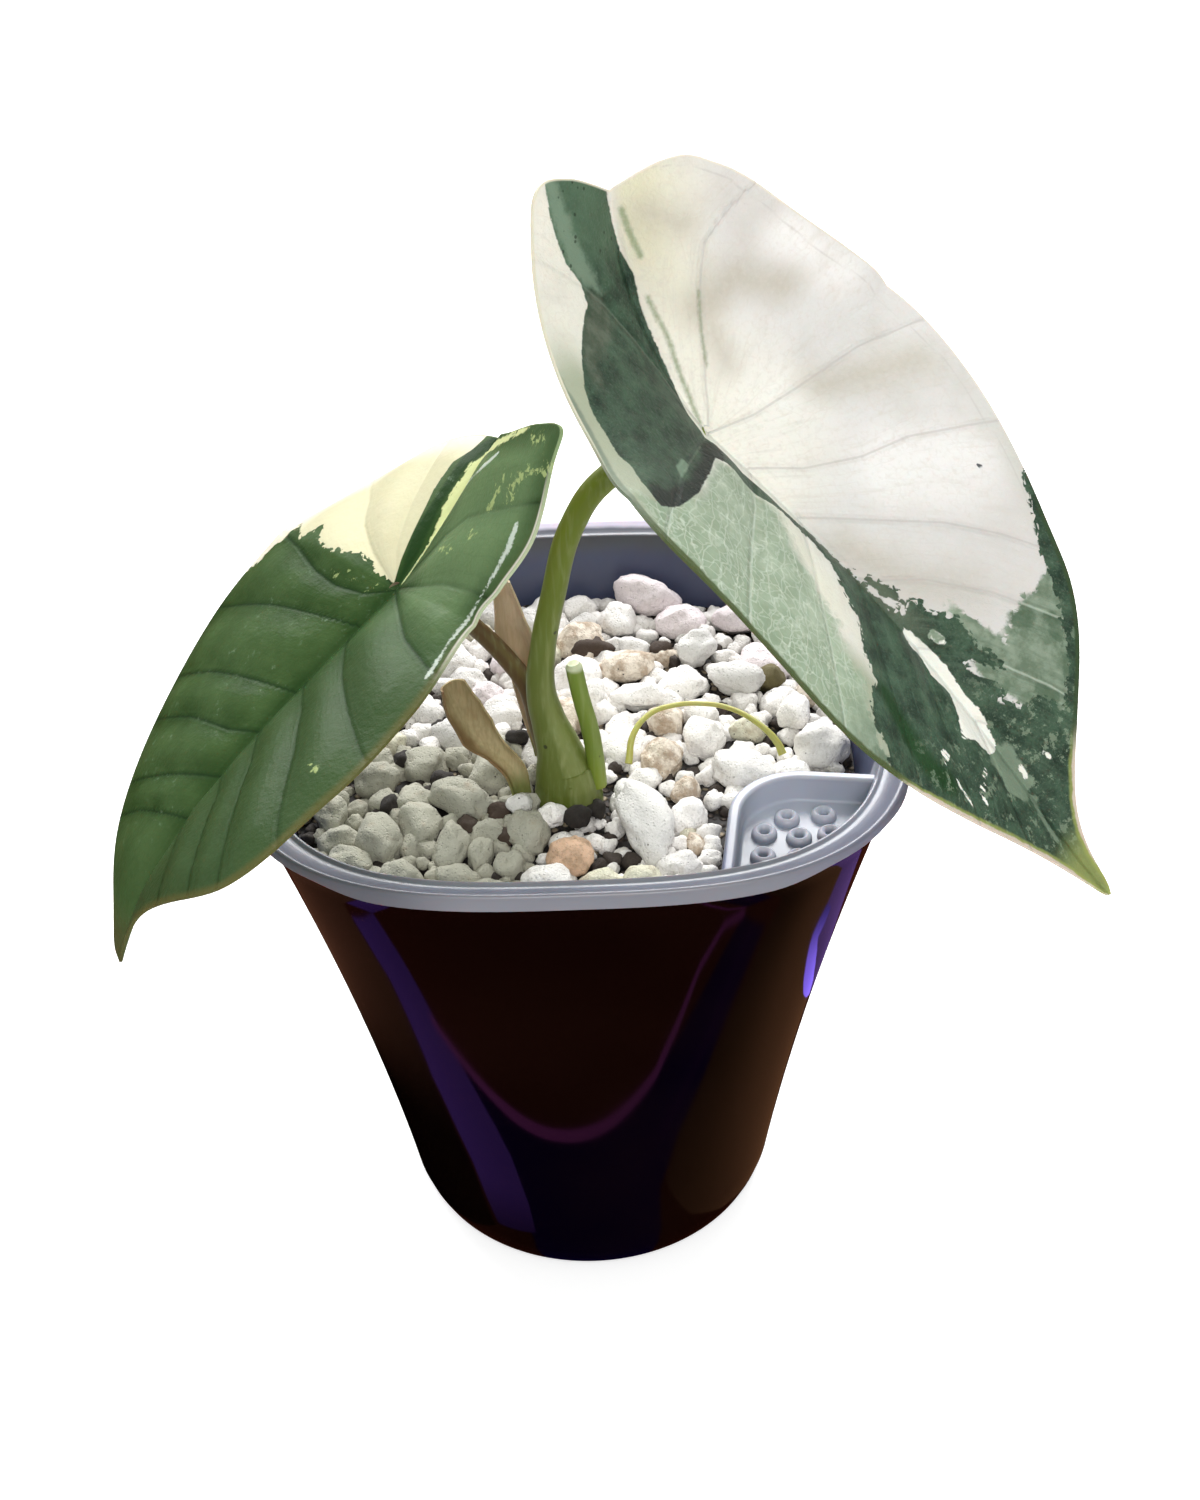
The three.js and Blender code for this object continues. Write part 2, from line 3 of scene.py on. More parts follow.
import bpy
import numpy as np
from mathutils import Matrix, Vector, noise


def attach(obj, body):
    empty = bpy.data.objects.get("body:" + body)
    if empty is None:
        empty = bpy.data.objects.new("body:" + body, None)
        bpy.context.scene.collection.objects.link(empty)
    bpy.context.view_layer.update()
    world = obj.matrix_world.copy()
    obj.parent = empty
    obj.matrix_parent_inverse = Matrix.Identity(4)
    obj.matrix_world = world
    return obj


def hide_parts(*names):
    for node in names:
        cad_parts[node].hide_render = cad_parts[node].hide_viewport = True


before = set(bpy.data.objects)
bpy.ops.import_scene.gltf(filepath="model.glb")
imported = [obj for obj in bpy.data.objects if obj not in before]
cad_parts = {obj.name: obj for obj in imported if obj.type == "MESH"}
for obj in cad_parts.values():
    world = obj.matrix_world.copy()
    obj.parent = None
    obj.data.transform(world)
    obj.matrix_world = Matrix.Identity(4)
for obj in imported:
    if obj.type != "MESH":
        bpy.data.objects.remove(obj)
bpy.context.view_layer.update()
MM = 0.001


# Outer pot: a thin moulding of glossy, almost black plastic. It widens from a round foot to a
# rounded square mouth, on which the liner hangs. Its wall is turned from a profile, and each
# point then moves out to the rounded square at its height.
FOOT_HALF = 32
POT_TOP_HALF = 50.6
POT_TOP_Z = 101.5
POT_WALL = 1.4
POT_FLOOR = 2
POT_AROUND = 208
SQUARER = 1.05
MOUTH_POWER = 2 + SQUARER


def pot_half(z):
    return FOOT_HALF + (POT_TOP_HALF - FOOT_HALF) * max(z / POT_TOP_Z, 0) ** 1.1


def squareness(z):
    """The power of the superellipse at a height: 2 is a circle, and the mouth is the squarest."""
    return 2 + SQUARER * min(max(z / POT_TOP_Z, 0), 1) ** 2.2


def rows_between(low, high, step):
    count = max(round(abs(high - low) / step), 1)
    return [low + (high - low) * i / count for i in range(count + 1)]


def turned(name, profile):
    """A closed body turned from its wall's profile, points of (half width, height) in mm that start
    and end on the axis."""
    bpy.ops.object.select_all(action="DESELECT")
    bpy.ops.mesh.primitive_plane_add(size=MM)
    body = bpy.context.object
    body.name = name
    bpy.ops.object.mode_set(mode="EDIT")
    bpy.ops.mesh.merge(type="CENTER")
    bpy.ops.transform.translate(value=(profile[0][0] * MM, 0, profile[0][1] * MM))
    for (from_half, from_z), (half, z) in zip(profile, profile[1:]):
        step = ((half - from_half) * MM, 0, (z - from_z) * MM)
        bpy.ops.mesh.extrude_region_move(TRANSFORM_OT_translate={"value": step})
    bpy.ops.mesh.select_all(action="SELECT")
    bpy.ops.mesh.spin(steps=POT_AROUND, angle=math.tau, center=(0, 0, 0), axis=(0, 0, 1))
    bpy.ops.mesh.select_all(action="SELECT")
    bpy.ops.mesh.remove_doubles(threshold=0.002 * MM)
    bpy.ops.mesh.normals_make_consistent(inside=False)
    bpy.ops.object.mode_set(mode="OBJECT")
    for vertex in body.data.vertices:
        x, y, z = vertex.co
        angle = math.atan2(y, x)
        power = squareness(z / MM)
        grow = (abs(math.cos(angle)) ** power + abs(math.sin(angle)) ** power) ** (-1 / power)
        vertex.co = (x * grow, y * grow, z)
    return body


def select_only(piece):
    bpy.ops.object.select_all(action="DESELECT")
    bpy.context.view_layer.objects.active = piece
    piece.select_set(True)


def use_modifier(piece, kind, **settings):
    """Adds a modifier to the piece and applies it."""
    select_only(piece)
    modifier = piece.modifiers.new(kind.title(), kind)
    for setting, value in settings.items():
        setattr(modifier, setting, value)
    bpy.ops.object.modifier_apply(modifier=modifier.name)


def smooth(piece, angle):
    """Smooth shading, with edges sharper than the angle, in degrees, left sharp."""
    select_only(piece)
    bpy.ops.object.shade_smooth_by_angle(angle=math.radians(angle))


def tone(red, green, blue):
    """A colour as it looks on a screen, 0 to 255 a channel, in the shader's own scale."""
    channels = [c / 255 for c in (red, green, blue)]
    return (*[c / 12.92 if c < 0.04 else ((c + 0.055) / 1.055) ** 2.4 for c in channels], 1)


class Shade:
    """An output socket of a material, which takes part in arithmetic."""

    def __init__(self, tree, socket=None):
        self.tree = tree
        self.socket = socket

    def add(self, kind, settings=None, inputs=None, out=0):
        node = self.tree.nodes.new(kind)
        for name, value in (settings or {}).items():
            if name == "stops":
                while len(node.color_ramp.elements) < len(value):
                    node.color_ramp.elements.new(1)
                for element, (place, colour) in zip(node.color_ramp.elements, value):
                    element.position = place
                    element.color = colour
            else:
                setattr(node, name, value)
        for name, value in (inputs or {}).items():
            if isinstance(value, Shade):
                self.tree.links.new(value.socket, node.inputs[name])
            else:
                node.inputs[name].default_value = value
        return Shade(self.tree, node.outputs[out] if node.outputs else None)

    def math(self, operation, *values):
        return self.add("ShaderNodeMath", {"operation": operation}, dict(enumerate(values)))

    def __add__(self, other):
        return self.math("ADD", self, other)

    def __radd__(self, other):
        return self.math("ADD", other, self)

    def __sub__(self, other):
        return self.math("SUBTRACT", self, other)

    def __rsub__(self, other):
        return self.math("SUBTRACT", other, self)

    def __mul__(self, other):
        return self.math("MULTIPLY", self, other)

    def __rmul__(self, other):
        return self.math("MULTIPLY", other, self)

    def __truediv__(self, other):
        return self.math("DIVIDE", self, other)

    def __pow__(self, other):
        return self.math("POWER", self, other)

    def __abs__(self):
        return self.math("ABSOLUTE", self)

    def rise(self, low, high):
        """0 below low, 1 above high, with a soft step between; high may be the lower one."""
        settings = {"interpolation_type": "SMOOTHSTEP"}
        if low > high:
            return self.add("ShaderNodeMapRange", settings, {0: self, 1: high, 2: low, 3: 1.0, 4: 0.0})
        return self.add("ShaderNodeMapRange", settings, {0: self, 1: low, 2: high, 3: 0.0, 4: 1.0})

    def blend(self, first, second):
        """The first colour where this value is 0 and the second where it is 1. Either is a socket
        or a colour as it looks on a screen."""
        ends = [end if isinstance(end, Shade) else tone(*end) for end in (first, second)]
        return self.add("ShaderNodeMix", {"data_type": "RGBA"}, {0: self, 6: ends[0], 7: ends[1]}, 2)

    def most(self, other):
        return self.math("MAXIMUM", self, other)

    def place(self, scale=(1, 1, 1)):
        """Object coordinates in mm, scaled."""
        inputs = {"Vector": self.add("ShaderNodeTexCoord", out="Object")}
        inputs["Scale"] = tuple(s / MM for s in scale)
        return self.add("ShaderNodeMapping", {}, inputs)

    def axes(self, where):
        return [self.add("ShaderNodeSeparateXYZ", {}, {"Vector": where}, k) for k in range(3)]

    def noise(self, where, size, detail=3.0, rough=0.5, out=0):
        """Cloudy noise from 0 to 1 whose lumps are about the given size."""
        inputs = {"Vector": where, "Scale": 1 / size, "Detail": detail, "Roughness": rough}
        return self.add("ShaderNodeTexNoise", {}, inputs, out)

    def cells(self, where, size, feature="F1", out=0):
        settings = {"feature": feature}
        return self.add("ShaderNodeTexVoronoi", settings, {"Vector": where, "Scale": 1 / size}, out)

    def threads(self, where, size, thin, detail=1.0):
        """1 on thin wavy lines and 0 between them."""
        return abs(self.noise(where, size, detail) - 0.5).rise(thin, 0)

    def attribute(self, name, out="Fac"):
        return self.add("ShaderNodeAttribute", {"attribute_name": name}, out=out)

    def bump(self, distance, under=None):
        """A surface normal from this height, with 1 standing for the distance in mm."""
        inputs = {"Height": self, "Distance": distance * MM, "Strength": 1.0}
        if under:
            inputs["Normal"] = under
        return self.add("ShaderNodeBump", {}, inputs)


def coated(colour, coats):
    """Lays coats over a colour in turn, each with how much of it shows and its own colour."""
    for cover, over in coats:
        colour = cover.blend(colour, over)
    return colour


def new_finish(name):
    material = bpy.data.materials.new(name)
    material.use_nodes = True
    material.node_tree.nodes.clear()
    return material, Shade(material.node_tree)


def surface(start, inputs):
    """Ends a material in its surface shader."""
    shader = start.add("ShaderNodeBsdfPrincipled", {}, inputs)
    start.add("ShaderNodeOutputMaterial", {}, {"Surface": shader})


def lip(half, z, wall, drop):
    """The rounded top of a wall, from its outer to its inner face."""
    turns = [math.pi * i / 6 for i in range(7)]
    return [(half - wall / 2 + wall / 2 * math.cos(t), z - drop + drop * math.sin(t)) for t in turns]


pot_profile = [(0, 0), (FOOT_HALF - 8, 0)]
pot_profile += [(FOOT_HALF - 5.6 + 5.9 * math.sin(t), 5.2 - 5.2 * math.cos(t))
                for t in (0.15, 0.45, 0.75, 1.05, 1.35)]
pot_profile += [(pot_half(z), z) for z in rows_between(6.5, POT_TOP_Z - 0.8, 4.5)]
pot_profile += lip(POT_TOP_HALF, POT_TOP_Z, POT_WALL, 0.5)
pot_profile += [(pot_half(z) - POT_WALL, z) for z in rows_between(POT_TOP_Z - 0.8, POT_FLOOR + 4, 8)]
pot_profile += [(FOOT_HALF - 4, POT_FLOOR + 0.6), (FOOT_HALF - 7, POT_FLOOR), (0, POT_FLOOR)]
outer_pot = turned("outer_pot_moulding", pot_profile)
smooth(outer_pot, 50)

pot_plastic, start = new_finish("glossy_black_plastic")
spot = start.place()
smudge = start.noise(spot, 34, 2).rise(0.35, 0.75)
haze = start.noise(spot, 1.6, 4)
surface(start, {
    "Base Color": smudge.blend((3, 1, 1), (8, 3, 2)),
    "Roughness": 0.045 + 0.04 * smudge + 0.02 * haze,
    "IOR": 1.5,
    "Normal": start.noise(spot, 22, 1).bump(0.05),
})
outer_pot.data.materials.append(pot_plastic)
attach(outer_pot, "root")
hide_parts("outer_pot")


# Liner pot: one thin moulding of cloudy, bluish plastic. It hangs by a flange that lips over the
# outer pot, and a watering well with seven bored collars is moulded into one corner.
RIM_HALF = 52.5
LINER_WALL = 1
LINER_FLOOR_Z = 25
WELL_X = 26.2
WELL_Y = -21.5
WELL_TURN = -8
WELL_CORNER = 9.1
WELL_WALL = 1.9
WELL_FLOOR = 1.2
WELL_FLOOR_Z = 96.5
WELL_TOP_Z = 101
WELL_SKIRT_Z = 92.6
WELL_CLEAR_X = 21.4
WELL_CLEAR_Y = -20
COLLARS = [
    (33.5, -32.3), (32.1, -27.6), (37.7, -27), (28.4, -31.1), (27.8, -36.5), (38.2, -31.8), (33, -37.2),
]
COLLAR_SINK = 0.4
COLLAR_STRETCH = 1.6
FLANGE_LIFT = 1.2


def liner_half(z):
    return pot_half(z) - POT_WALL - 0.6 - 0.03 * (POT_TOP_Z - z)


def well_block(name, grow, low, high):
    """The well's plan as a block: it runs out through the liner's corner, has one round edge and
    is turned a little about its inner corner."""
    left, back = WELL_X - grow, WELL_Y + grow
    far = 66 - 3 * grow
    middle = ((left + far) / 2 * MM, (back - far) / 2 * MM, (low + high) / 2 * MM)
    bpy.ops.object.select_all(action="DESELECT")
    bpy.ops.mesh.primitive_cube_add(size=1, location=middle)
    block = bpy.context.object
    block.name = name
    block.scale = ((far - left) * MM, (back + far) * MM, (high - low) * MM)
    bpy.ops.object.transform_apply(location=True, rotation=True, scale=True)
    bpy.ops.object.mode_set(mode="EDIT")
    bpy.ops.mesh.select_mode(type="EDGE")
    bpy.ops.mesh.select_all(action="DESELECT")
    bpy.ops.object.mode_set(mode="OBJECT")
    for edge in block.data.edges:
        ends = [block.data.vertices[i].co for i in edge.vertices]
        edge.select = all(abs(p.x / MM - left) < 0.01 and abs(p.y / MM - back) < 0.01 for p in ends)
    bpy.ops.object.mode_set(mode="EDIT")
    bpy.ops.mesh.bevel(offset=(WELL_CORNER + grow) * MM, segments=14, affect="EDGES")
    bpy.ops.mesh.select_mode(type="VERT")
    bpy.ops.object.mode_set(mode="OBJECT")
    corner = Matrix.Translation((WELL_X * MM, WELL_Y * MM, 0))
    block.data.transform(corner @ Matrix.Rotation(math.radians(WELL_TURN), 4, "Z") @ corner.inverted())
    return block


def cut_with(piece, tool, operation):
    """A boolean with a tool, which is then removed."""
    use_modifier(piece, "BOOLEAN", object=tool, operation=operation, solver="EXACT")
    bpy.data.objects.remove(tool)


def inside_of_liner(name, shrink):
    """The room inside the liner as a solid."""
    profile = [(0, LINER_FLOOR_Z + 1), (liner_half(26) - 3.5 + shrink, LINER_FLOOR_Z + 1)]
    profile += [(liner_half(z) - LINER_WALL + shrink, z) for z in rows_between(29, POT_TOP_Z, 9)]
    profile += [(RIM_HALF - 4.6 + shrink, 103.1), (0, 103.1)]
    return turned(name, profile)


liner_profile = [(0, LINER_FLOOR_Z), (liner_half(25) - 2.5, LINER_FLOOR_Z), (liner_half(26) - 0.8, 25.8)]
liner_profile += [(liner_half(z), z) for z in rows_between(28, POT_TOP_Z, 8)]
liner_profile += [
    (49.1, 102), (50.4, 102.35), (51.2, 102.2), (51.5, 101.6), (51.6, 101.3), (52.4, 101.3), (52.6, 101.45),
    (52.58, 102.8), (52.5, 103.6), (52.35, 103.85), (52.1, 104), (51.8, 103.98), (51.5, 103.8),
    (50.6, 103.35), (49.6, 102.95), (48.9, 102.8), (48.65, 102.9), (48.45, 103.15), (48.25, 103.2),
    (48.05, 103.1), (47.9, 102.7),
]
liner_profile += [(liner_half(z) - LINER_WALL, z) for z in rows_between(POT_TOP_Z, 29, 8)]
liner_profile += [(liner_half(26) - 3.5, LINER_FLOOR_Z + 1), (0, LINER_FLOOR_Z + 1)]
liner = turned("liner_moulding", liner_profile)

well = well_block("well", WELL_WALL, WELL_SKIRT_Z, WELL_TOP_Z)
cut_with(well, well_block("well_room", 0, WELL_FLOOR_Z, WELL_TOP_Z + 2), "DIFFERENCE")
room_under_floor = well_block("room_under_floor", 0, WELL_SKIRT_Z - 2, WELL_FLOOR_Z - WELL_FLOOR)
cut_with(well, room_under_floor, "DIFFERENCE")
use_modifier(well, "BEVEL", width=0.8 * MM, segments=4, limit_method="ANGLE", angle_limit=math.radians(45))
cut_with(well, inside_of_liner("liner_room", 0.5), "INTERSECT")
cut_with(liner, well, "UNION")

for n, (x, y) in enumerate(COLLARS):
    bpy.ops.object.select_all(action="DESELECT")
    bpy.ops.mesh.primitive_torus_add(
        location=(x * MM, y * MM, (WELL_FLOOR_Z + 0.25) * MM), major_segments=28, minor_segments=12,
        major_radius=1.3 * MM, minor_radius=0.68 * MM)
    collar = bpy.context.object
    collar.name = f"collar_{n}"
    bpy.ops.object.transform_apply(location=True, rotation=True, scale=True)
    for vertex in collar.data.vertices:
        above_ring = max(vertex.co.z - (WELL_FLOOR_Z + 0.25) * MM, -COLLAR_SINK * MM)
        vertex.co.z = (WELL_FLOOR_Z + 0.1) * MM + above_ring * COLLAR_STRETCH
    liner.select_set(True)
    bpy.context.view_layer.objects.active = liner
    bpy.ops.object.join()
for vertex in liner.data.vertices:
    across, deep, z = (abs(c) / MM for c in vertex.co)
    if z < 102.4 and (across ** MOUTH_POWER + deep ** MOUTH_POWER) ** (1 / MOUTH_POWER) > 51:
        corner = min(max((min(across, deep) / max(across, deep) - 0.55) / 0.3, 0), 1)
        vertex.co.z += FLANGE_LIFT * MM * corner * corner * (3 - 2 * corner)
smooth(liner, 38)

liner_plastic, start = new_finish("cloudy_liner_plastic")
spot = start.place()
x, y, height = start.axes(spot)
cloud = start.noise(spot, 5, 4)
mouth = (abs(x) ** MOUTH_POWER + abs(y) ** MOUTH_POWER) ** (1 / MOUTH_POWER) + 0.5 * (cloud - 0.5)
back = y.rise(30, 44)
corner = x.rise(24, 46) * y.rise(6, -12)
in_well = x.rise(21.5, 23.5) * y.rise(-17.5, -19) * height.rise(92, 93) * mouth.rise(49, 47.6)
beside = ((x - 33) ** 2 + (y + 32) ** 2) ** 0.5
# Painted highlight: the tops of the collars in the well are painted paler.
ringed = in_well * height.rise(96.8, 97.6) * height.rise(98.6, 98.1) * beside.rise(9, 8)
# Painted shade: the ridge and the channel are painted darker towards the left and the back, and the roll
# towards the left, where shade falls on the rim.
light = (1 - 0.34 * x.rise(-16, -30)) * (1 - 0.5 * back)
ridge = corner.blend((117, 120, 128), (132, 135, 150))
channel = corner.blend((98, 101, 116), (98, 101, 120))
roll = corner.blend((122, 123, 131), (112, 113, 130))
wall = coated((height.rise(80, 103) * (1 - 0.4 * back)).blend((66, 72, 98), (88, 94, 122)), [
    # Painted light: inside the well the far side is painted lighter than the near side, to stand for light
    # falling into it.
    (in_well, y.rise(-34, -24).blend((120, 124, 136), (178, 182, 196))),
    (0.8 * ringed, (172, 175, 186)),
    (mouth.rise(46.9, 47.9), light.blend((20, 21, 30), ridge)),
    (mouth.rise(48.9, 49.6), light.blend((30, 31, 42), channel)),
    (mouth.rise(51.7, 52.3), (1 - 0.5 * x.rise(-14, -30)).blend((30, 31, 42), roll)),
    # Painted highlight: a pale violet band along the top of the back rim.
    (y.rise(34, 44) * height.rise(101, 101.8) * mouth.rise(50.2, 51.2), (222, 216, 234)),
])
surface(start, {
    "Base Color": wall,
    "Roughness": 0.24 + 0.16 * cloud,
    "Subsurface Weight": 0.25,
    "Subsurface Scale": 1.5 * MM,
    "IOR": 1.46,
    "Normal": cloud.bump(0.04),
})
liner.data.materials.clear()
liner.data.materials.append(liner_plastic)
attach(liner, "root")
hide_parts("liner_pot")


# Gravel: rounded pumice stones, mostly chalk white, with a few pinkish, stained or mossy ones,
# over a dark bed. Each stone is a pebble that is worn flat here and there.
FILL_Z = 91.7
# The stones at the front left carry a darker tint that is painted shade, for the small leaf's shadow.
TOP_STONES = [
    (-32, -9, 93, 3.8, 3.4, 3, -10, 0, "dim"), (-30, -25, 92.5, 4.1, 4.6, 3.9, 0, 0, "dim"),
    (-24, -21, 93, 3.2, 4, 3.4, 15, 0, "dim"), (-18, -16, 94, 5.5, 3.2, 3, -30, 0, "dim"),
    (-19, -27, 92.5, 2.7, 4.6, 3.4, -5, 0, "dim"), (-14.5, -28, 92, 1.8, 3, 2.6, -10, 0, "dim"),
    (-10, -31, 92, 2.4, 3.2, 2.6, -15, 0, "dim"), (-7, -24, 93, 3.1, 4.4, 3.2, 5, 0, "dim"),
    (-38, -18, 93, 2.8, 3.6, 3, 0, 0, "dim"), (-25, 10, 92.5, 3.2, 3.4, 2.8, 0, 0, "white"),
    (-0.5, -30, 93, 3.6, 4, 3.2, -10, 0, "rusty"), (13, 40.5, 95, 6.1, 3.6, 3.6, -24, 8, "pink"),
    (8, 35, 93.6, 3.2, 3.8, 3, 0, 0, "white"), (19, 34.5, 93, 4.3, 3.4, 3, -10, 0, "pink"),
    (29, 34, 93.6, 4.4, 3, 2.6, -10, 0, "pink"), (21, 24, 94.2, 3, 4, 3, -35, 0, "chalk"),
    (9, 20.5, 93.5, 4.8, 3.2, 2.6, 0, 0, "stained"), (11, 12, 93, 4.8, 2.8, 2.4, 0, 0, "white"),
    (27, 15, 94, 5, 3.4, 2.8, -25, 0, "chalk"), (36, 4, 94, 2.7, 3.6, 3.2, 0, 0, "white"),
    (39.5, -5, 94, 4.2, 4.6, 4, 0, 0, "white"), (21, -1.5, 93.6, 3.4, 3.8, 3.4, 0, 0, "white"),
    (15, 4, 93, 3.3, 3, 2.6, -15, 0, "stained"), (28.5, 1.5, 92.8, 3, 2.6, 2.4, -10, 0, "mossy"),
    (14, -6.5, 93, 3.5, 3.6, 3.2, 0, 0, "stained"), (26.5, -10.5, 93.4, 4.7, 3.8, 3, -15, 0, "white"),
    (3, 12, 93, 2.9, 3.8, 3, 0, 0, "white"), (10.5, -25, 95.6, 8.2, 3.8, 3.6, -66, 24, "chalk"),
    (17.5, -14.5, 92.6, 2.4, 2.8, 2.6, 0, 0, "stained"), (4, -36, 92, 3.4, 2.8, 2.6, -10, 0, "mossy"),
    (-3.6, -21, 94, 2.4, 1.9, 1.9, 0, 0, "white"), (-8.6, -18.4, 94.4, 2, 1.7, 1.6, 0, 0, "chalk"),
    (17.5, -21, 92.6, 3, 3.4, 2.8, 0, 0, "white"), (16, -33, 92.4, 3.6, 3, 2.6, 0, 0, "white"),
    (10, -36.5, 92.2, 3, 2.8, 2.6, 0, 0, "mossy"),
]
# Painted shade: the darkest, greyest tint is for the stones at the front left, as if in the small leaf's
# shadow.
STONE_LOOKS = {
    "chalk": ((232, 230, 227), 0.05), "white": ((252, 249, 246), 0.25), "pink": ((255, 244, 247), 0.2),
    "dim": ((174, 173, 158), 0.25), "stained": ((240, 229, 214), 0.8), "mossy": ((228, 226, 204), 0.5),
    "rusty": ((222, 184, 154), 0.7),
}
KINDS = ["white", "chalk", "white", "stained", "white", "pink", "white", "chalk", "mossy", "white"]
SPREAD = 46
STEM_Y = -13


def draws_from(seed):
    state = seed
    while True:
        state = state * 16807 % 2147483647
        yield state / 2147483647


def inside_liner(x, y, reach):
    half = liner_half(FILL_Z) - LINER_WALL - reach
    return (abs(x) / half) ** 2.8 + (abs(y) / half) ** 2.8 < 1


def place_for(draw, tries, sized, crowd, from_stem, others):
    """The first drawn place with room for a stone among the others, clear of the stem, the liner
    and the well, and the stone's reach; nothing after so many tries."""
    for _ in range(tries):
        x, y = (next(draw) * 2 - 1) * SPREAD, (next(draw) * 2 - 1) * SPREAD
        reach = sized(next(draw))
        roomy = all(math.hypot(p[0] - x, p[1] - y) > crowd * (reach + (p[3] + p[4]) / 2) for p in others)
        off_stem = math.hypot(x, y - STEM_Y) > reach + from_stem
        off_well = x < WELL_CLEAR_X - reach or y > WELL_CLEAR_Y + reach
        if roomy and off_stem and off_well and inside_liner(x, y, reach):
            return x, y, reach


def stone_places():
    """The top stones, then smaller ones wherever a draw leaves them room."""
    draw = draws_from(4127)
    places = list(TOP_STONES)
    for count, size in ((12, 4.8), (26, 3.9), (22, 3.2)):
        for _ in range(count):
            found = place_for(draw, 60, lambda share: size * (0.85 + 0.3 * share), 0.8, 6.5, places)
            if found:
                x, y, reach = found
                z = FILL_Z - 0.4 + 1.4 * next(draw)
                # Painted shade: stones at the front left get the tint painted for the small leaf's shadow.
                kind = "dim" if x < -6 and y < 0 else KINDS[len(places) % len(KINDS)]
                places.append((x, y, z, reach, reach * 0.85, reach * 0.8, next(draw) * 180, 0, kind))
    return places


def grit_places(places, seed, count, small, large, sink):
    """Small grains in the gaps between the stones."""
    draw = draws_from(seed)
    grains = []
    for _ in range(count):
        found = place_for(draw, 40, lambda share: small + (large - small) * share, 0.62, 5.2, places + grains)
        if found:
            x, y, reach = found
            z = FILL_Z - sink + 0.8 * next(draw)
            # Painted shade: grains at the front left get the tint painted for the small leaf's shadow.
            kind = "dim" if x < -6 and y < 0 else "white"
            grains.append((x, y, z, reach, reach * (0.7 + 0.3 * next(draw)), reach * 0.8,
                           next(draw) * 360, next(draw) * 40 - 20, kind))
    return grains


def pebble(seed, level, lumps, faces):
    """One worn stone of radius 1: an ico sphere, lumpy, with some flats."""
    bpy.ops.object.select_all(action="DESELECT")
    bpy.ops.mesh.primitive_ico_sphere_add(subdivisions=level, radius=1)
    shape = bpy.context.object
    draw = draws_from(seed * 7919 + 13)
    flats = []
    for _ in range(faces):
        axis = Vector((next(draw) - 0.5, next(draw) - 0.5, next(draw) - 0.5)).normalized()
        flats.append((axis, 0.8 + 0.15 * next(draw)))
    for vertex in shape.data.vertices:
        way = vertex.co.normalized()
        reach = 1 + lumps * noise.noise(way * 1.1 + Vector((seed, 0, 0)))
        reach += 0.4 * lumps * noise.noise(way * 2.7 + Vector((0, seed, 0)))
        reach += 0.12 * lumps * noise.noise(way * 7 + Vector((0, 0, seed)))
        point = way * reach
        for axis, depth in flats:
            over = point.dot(axis) - depth
            if over > 0:
                point -= axis * over * 0.6
        vertex.co = point
    return shape


def scatter(name, places, shapes, looks):
    """Copies the shapes to their places, joins the copies, and paints each one's tint and stain."""
    copies = []
    colours = []
    for n, (x, y, z, across, deep, high, turn, lean, kind) in enumerate(places):
        copy = shapes[n % len(shapes)].copy()
        copy.data = copy.data.copy()
        turned_by = Matrix.Rotation(math.radians(turn), 4, "Z")
        leaning = Matrix.Rotation(math.radians(lean), 4, "Y")
        flip = Matrix.Rotation(1.9 * n, 4, "X") @ Matrix.Rotation(2.3 * n, 4, "Z")
        size = Matrix.Diagonal((across * MM, deep * MM, high * MM, 1))
        where = Matrix.Translation((x * MM, y * MM, z * MM))
        copy.data.transform(where @ (turned_by @ leaning) @ size @ flip)
        bpy.context.scene.collection.objects.link(copy)
        light = 0.9 + 0.14 * ((n * 37) % 11) / 10
        tint, stain = looks[kind]
        red, green, blue, _ = tone(*tint)
        colours += [(red * light, green * light, blue * light, stain)] * len(copy.data.vertices)
        copies.append(copy)
    select_only(copies[0])
    for copy in copies:
        copy.select_set(True)
    bpy.ops.object.join()
    joined = bpy.context.object
    joined.name = name
    tint = joined.data.attributes.new("tint", "FLOAT_COLOR", "POINT")
    tint.data.foreach_set("color", np.array(colours, np.float32).ravel())
    bpy.ops.object.shade_smooth()
    return joined


def pumice_finish():
    material, start = new_finish("pumice")
    spot = start.place()
    tint = start.attribute("tint", "Color")
    stain = start.attribute("tint", "Alpha")
    patches = (start.noise(spot, 2.6, 4, 0.65) + 0.28 * stain).rise(0.6, 0.85) * (0.15 + 0.75 * stain)
    pits = start.cells(spot, 0.55)
    grain = start.noise(spot, 0.35, 5, 0.7)
    specks = start.cells(spot, 1.9).rise(0.1, 0.06) * start.noise(spot, 5, 1).rise(0.5, 0.6)
    low = spot.axes(spot)[2].rise(94.5, 91)
    colour = coated(tint, [
        (patches, (150, 122, 92)),
        (0.2 * grain.rise(0.6, 0.35), (176, 171, 160)),
        (0.25 * low, (128, 118, 100)),
        (specks, (52, 46, 40)),
    ])
    surface(start, {
        "Base Color": colour,
        "Roughness": 0.82 + 0.12 * grain,
        "Normal": (grain + 0.8 * pits.rise(0.0, 0.45) + start.noise(spot, 1.3, 2)).bump(0.2),
    })
    return material


stones = stone_places()
pebbles = [pebble(seed, 4, 0.3, 4) for seed in range(1, 10)]
pumice = scatter("pumice_stones", stones, pebbles, STONE_LOOKS)
pumice_look = pumice_finish()
pumice.data.materials.append(pumice_look)
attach(pumice, "root")
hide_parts("gravel")
for shape in pebbles:
    bpy.data.objects.remove(shape)

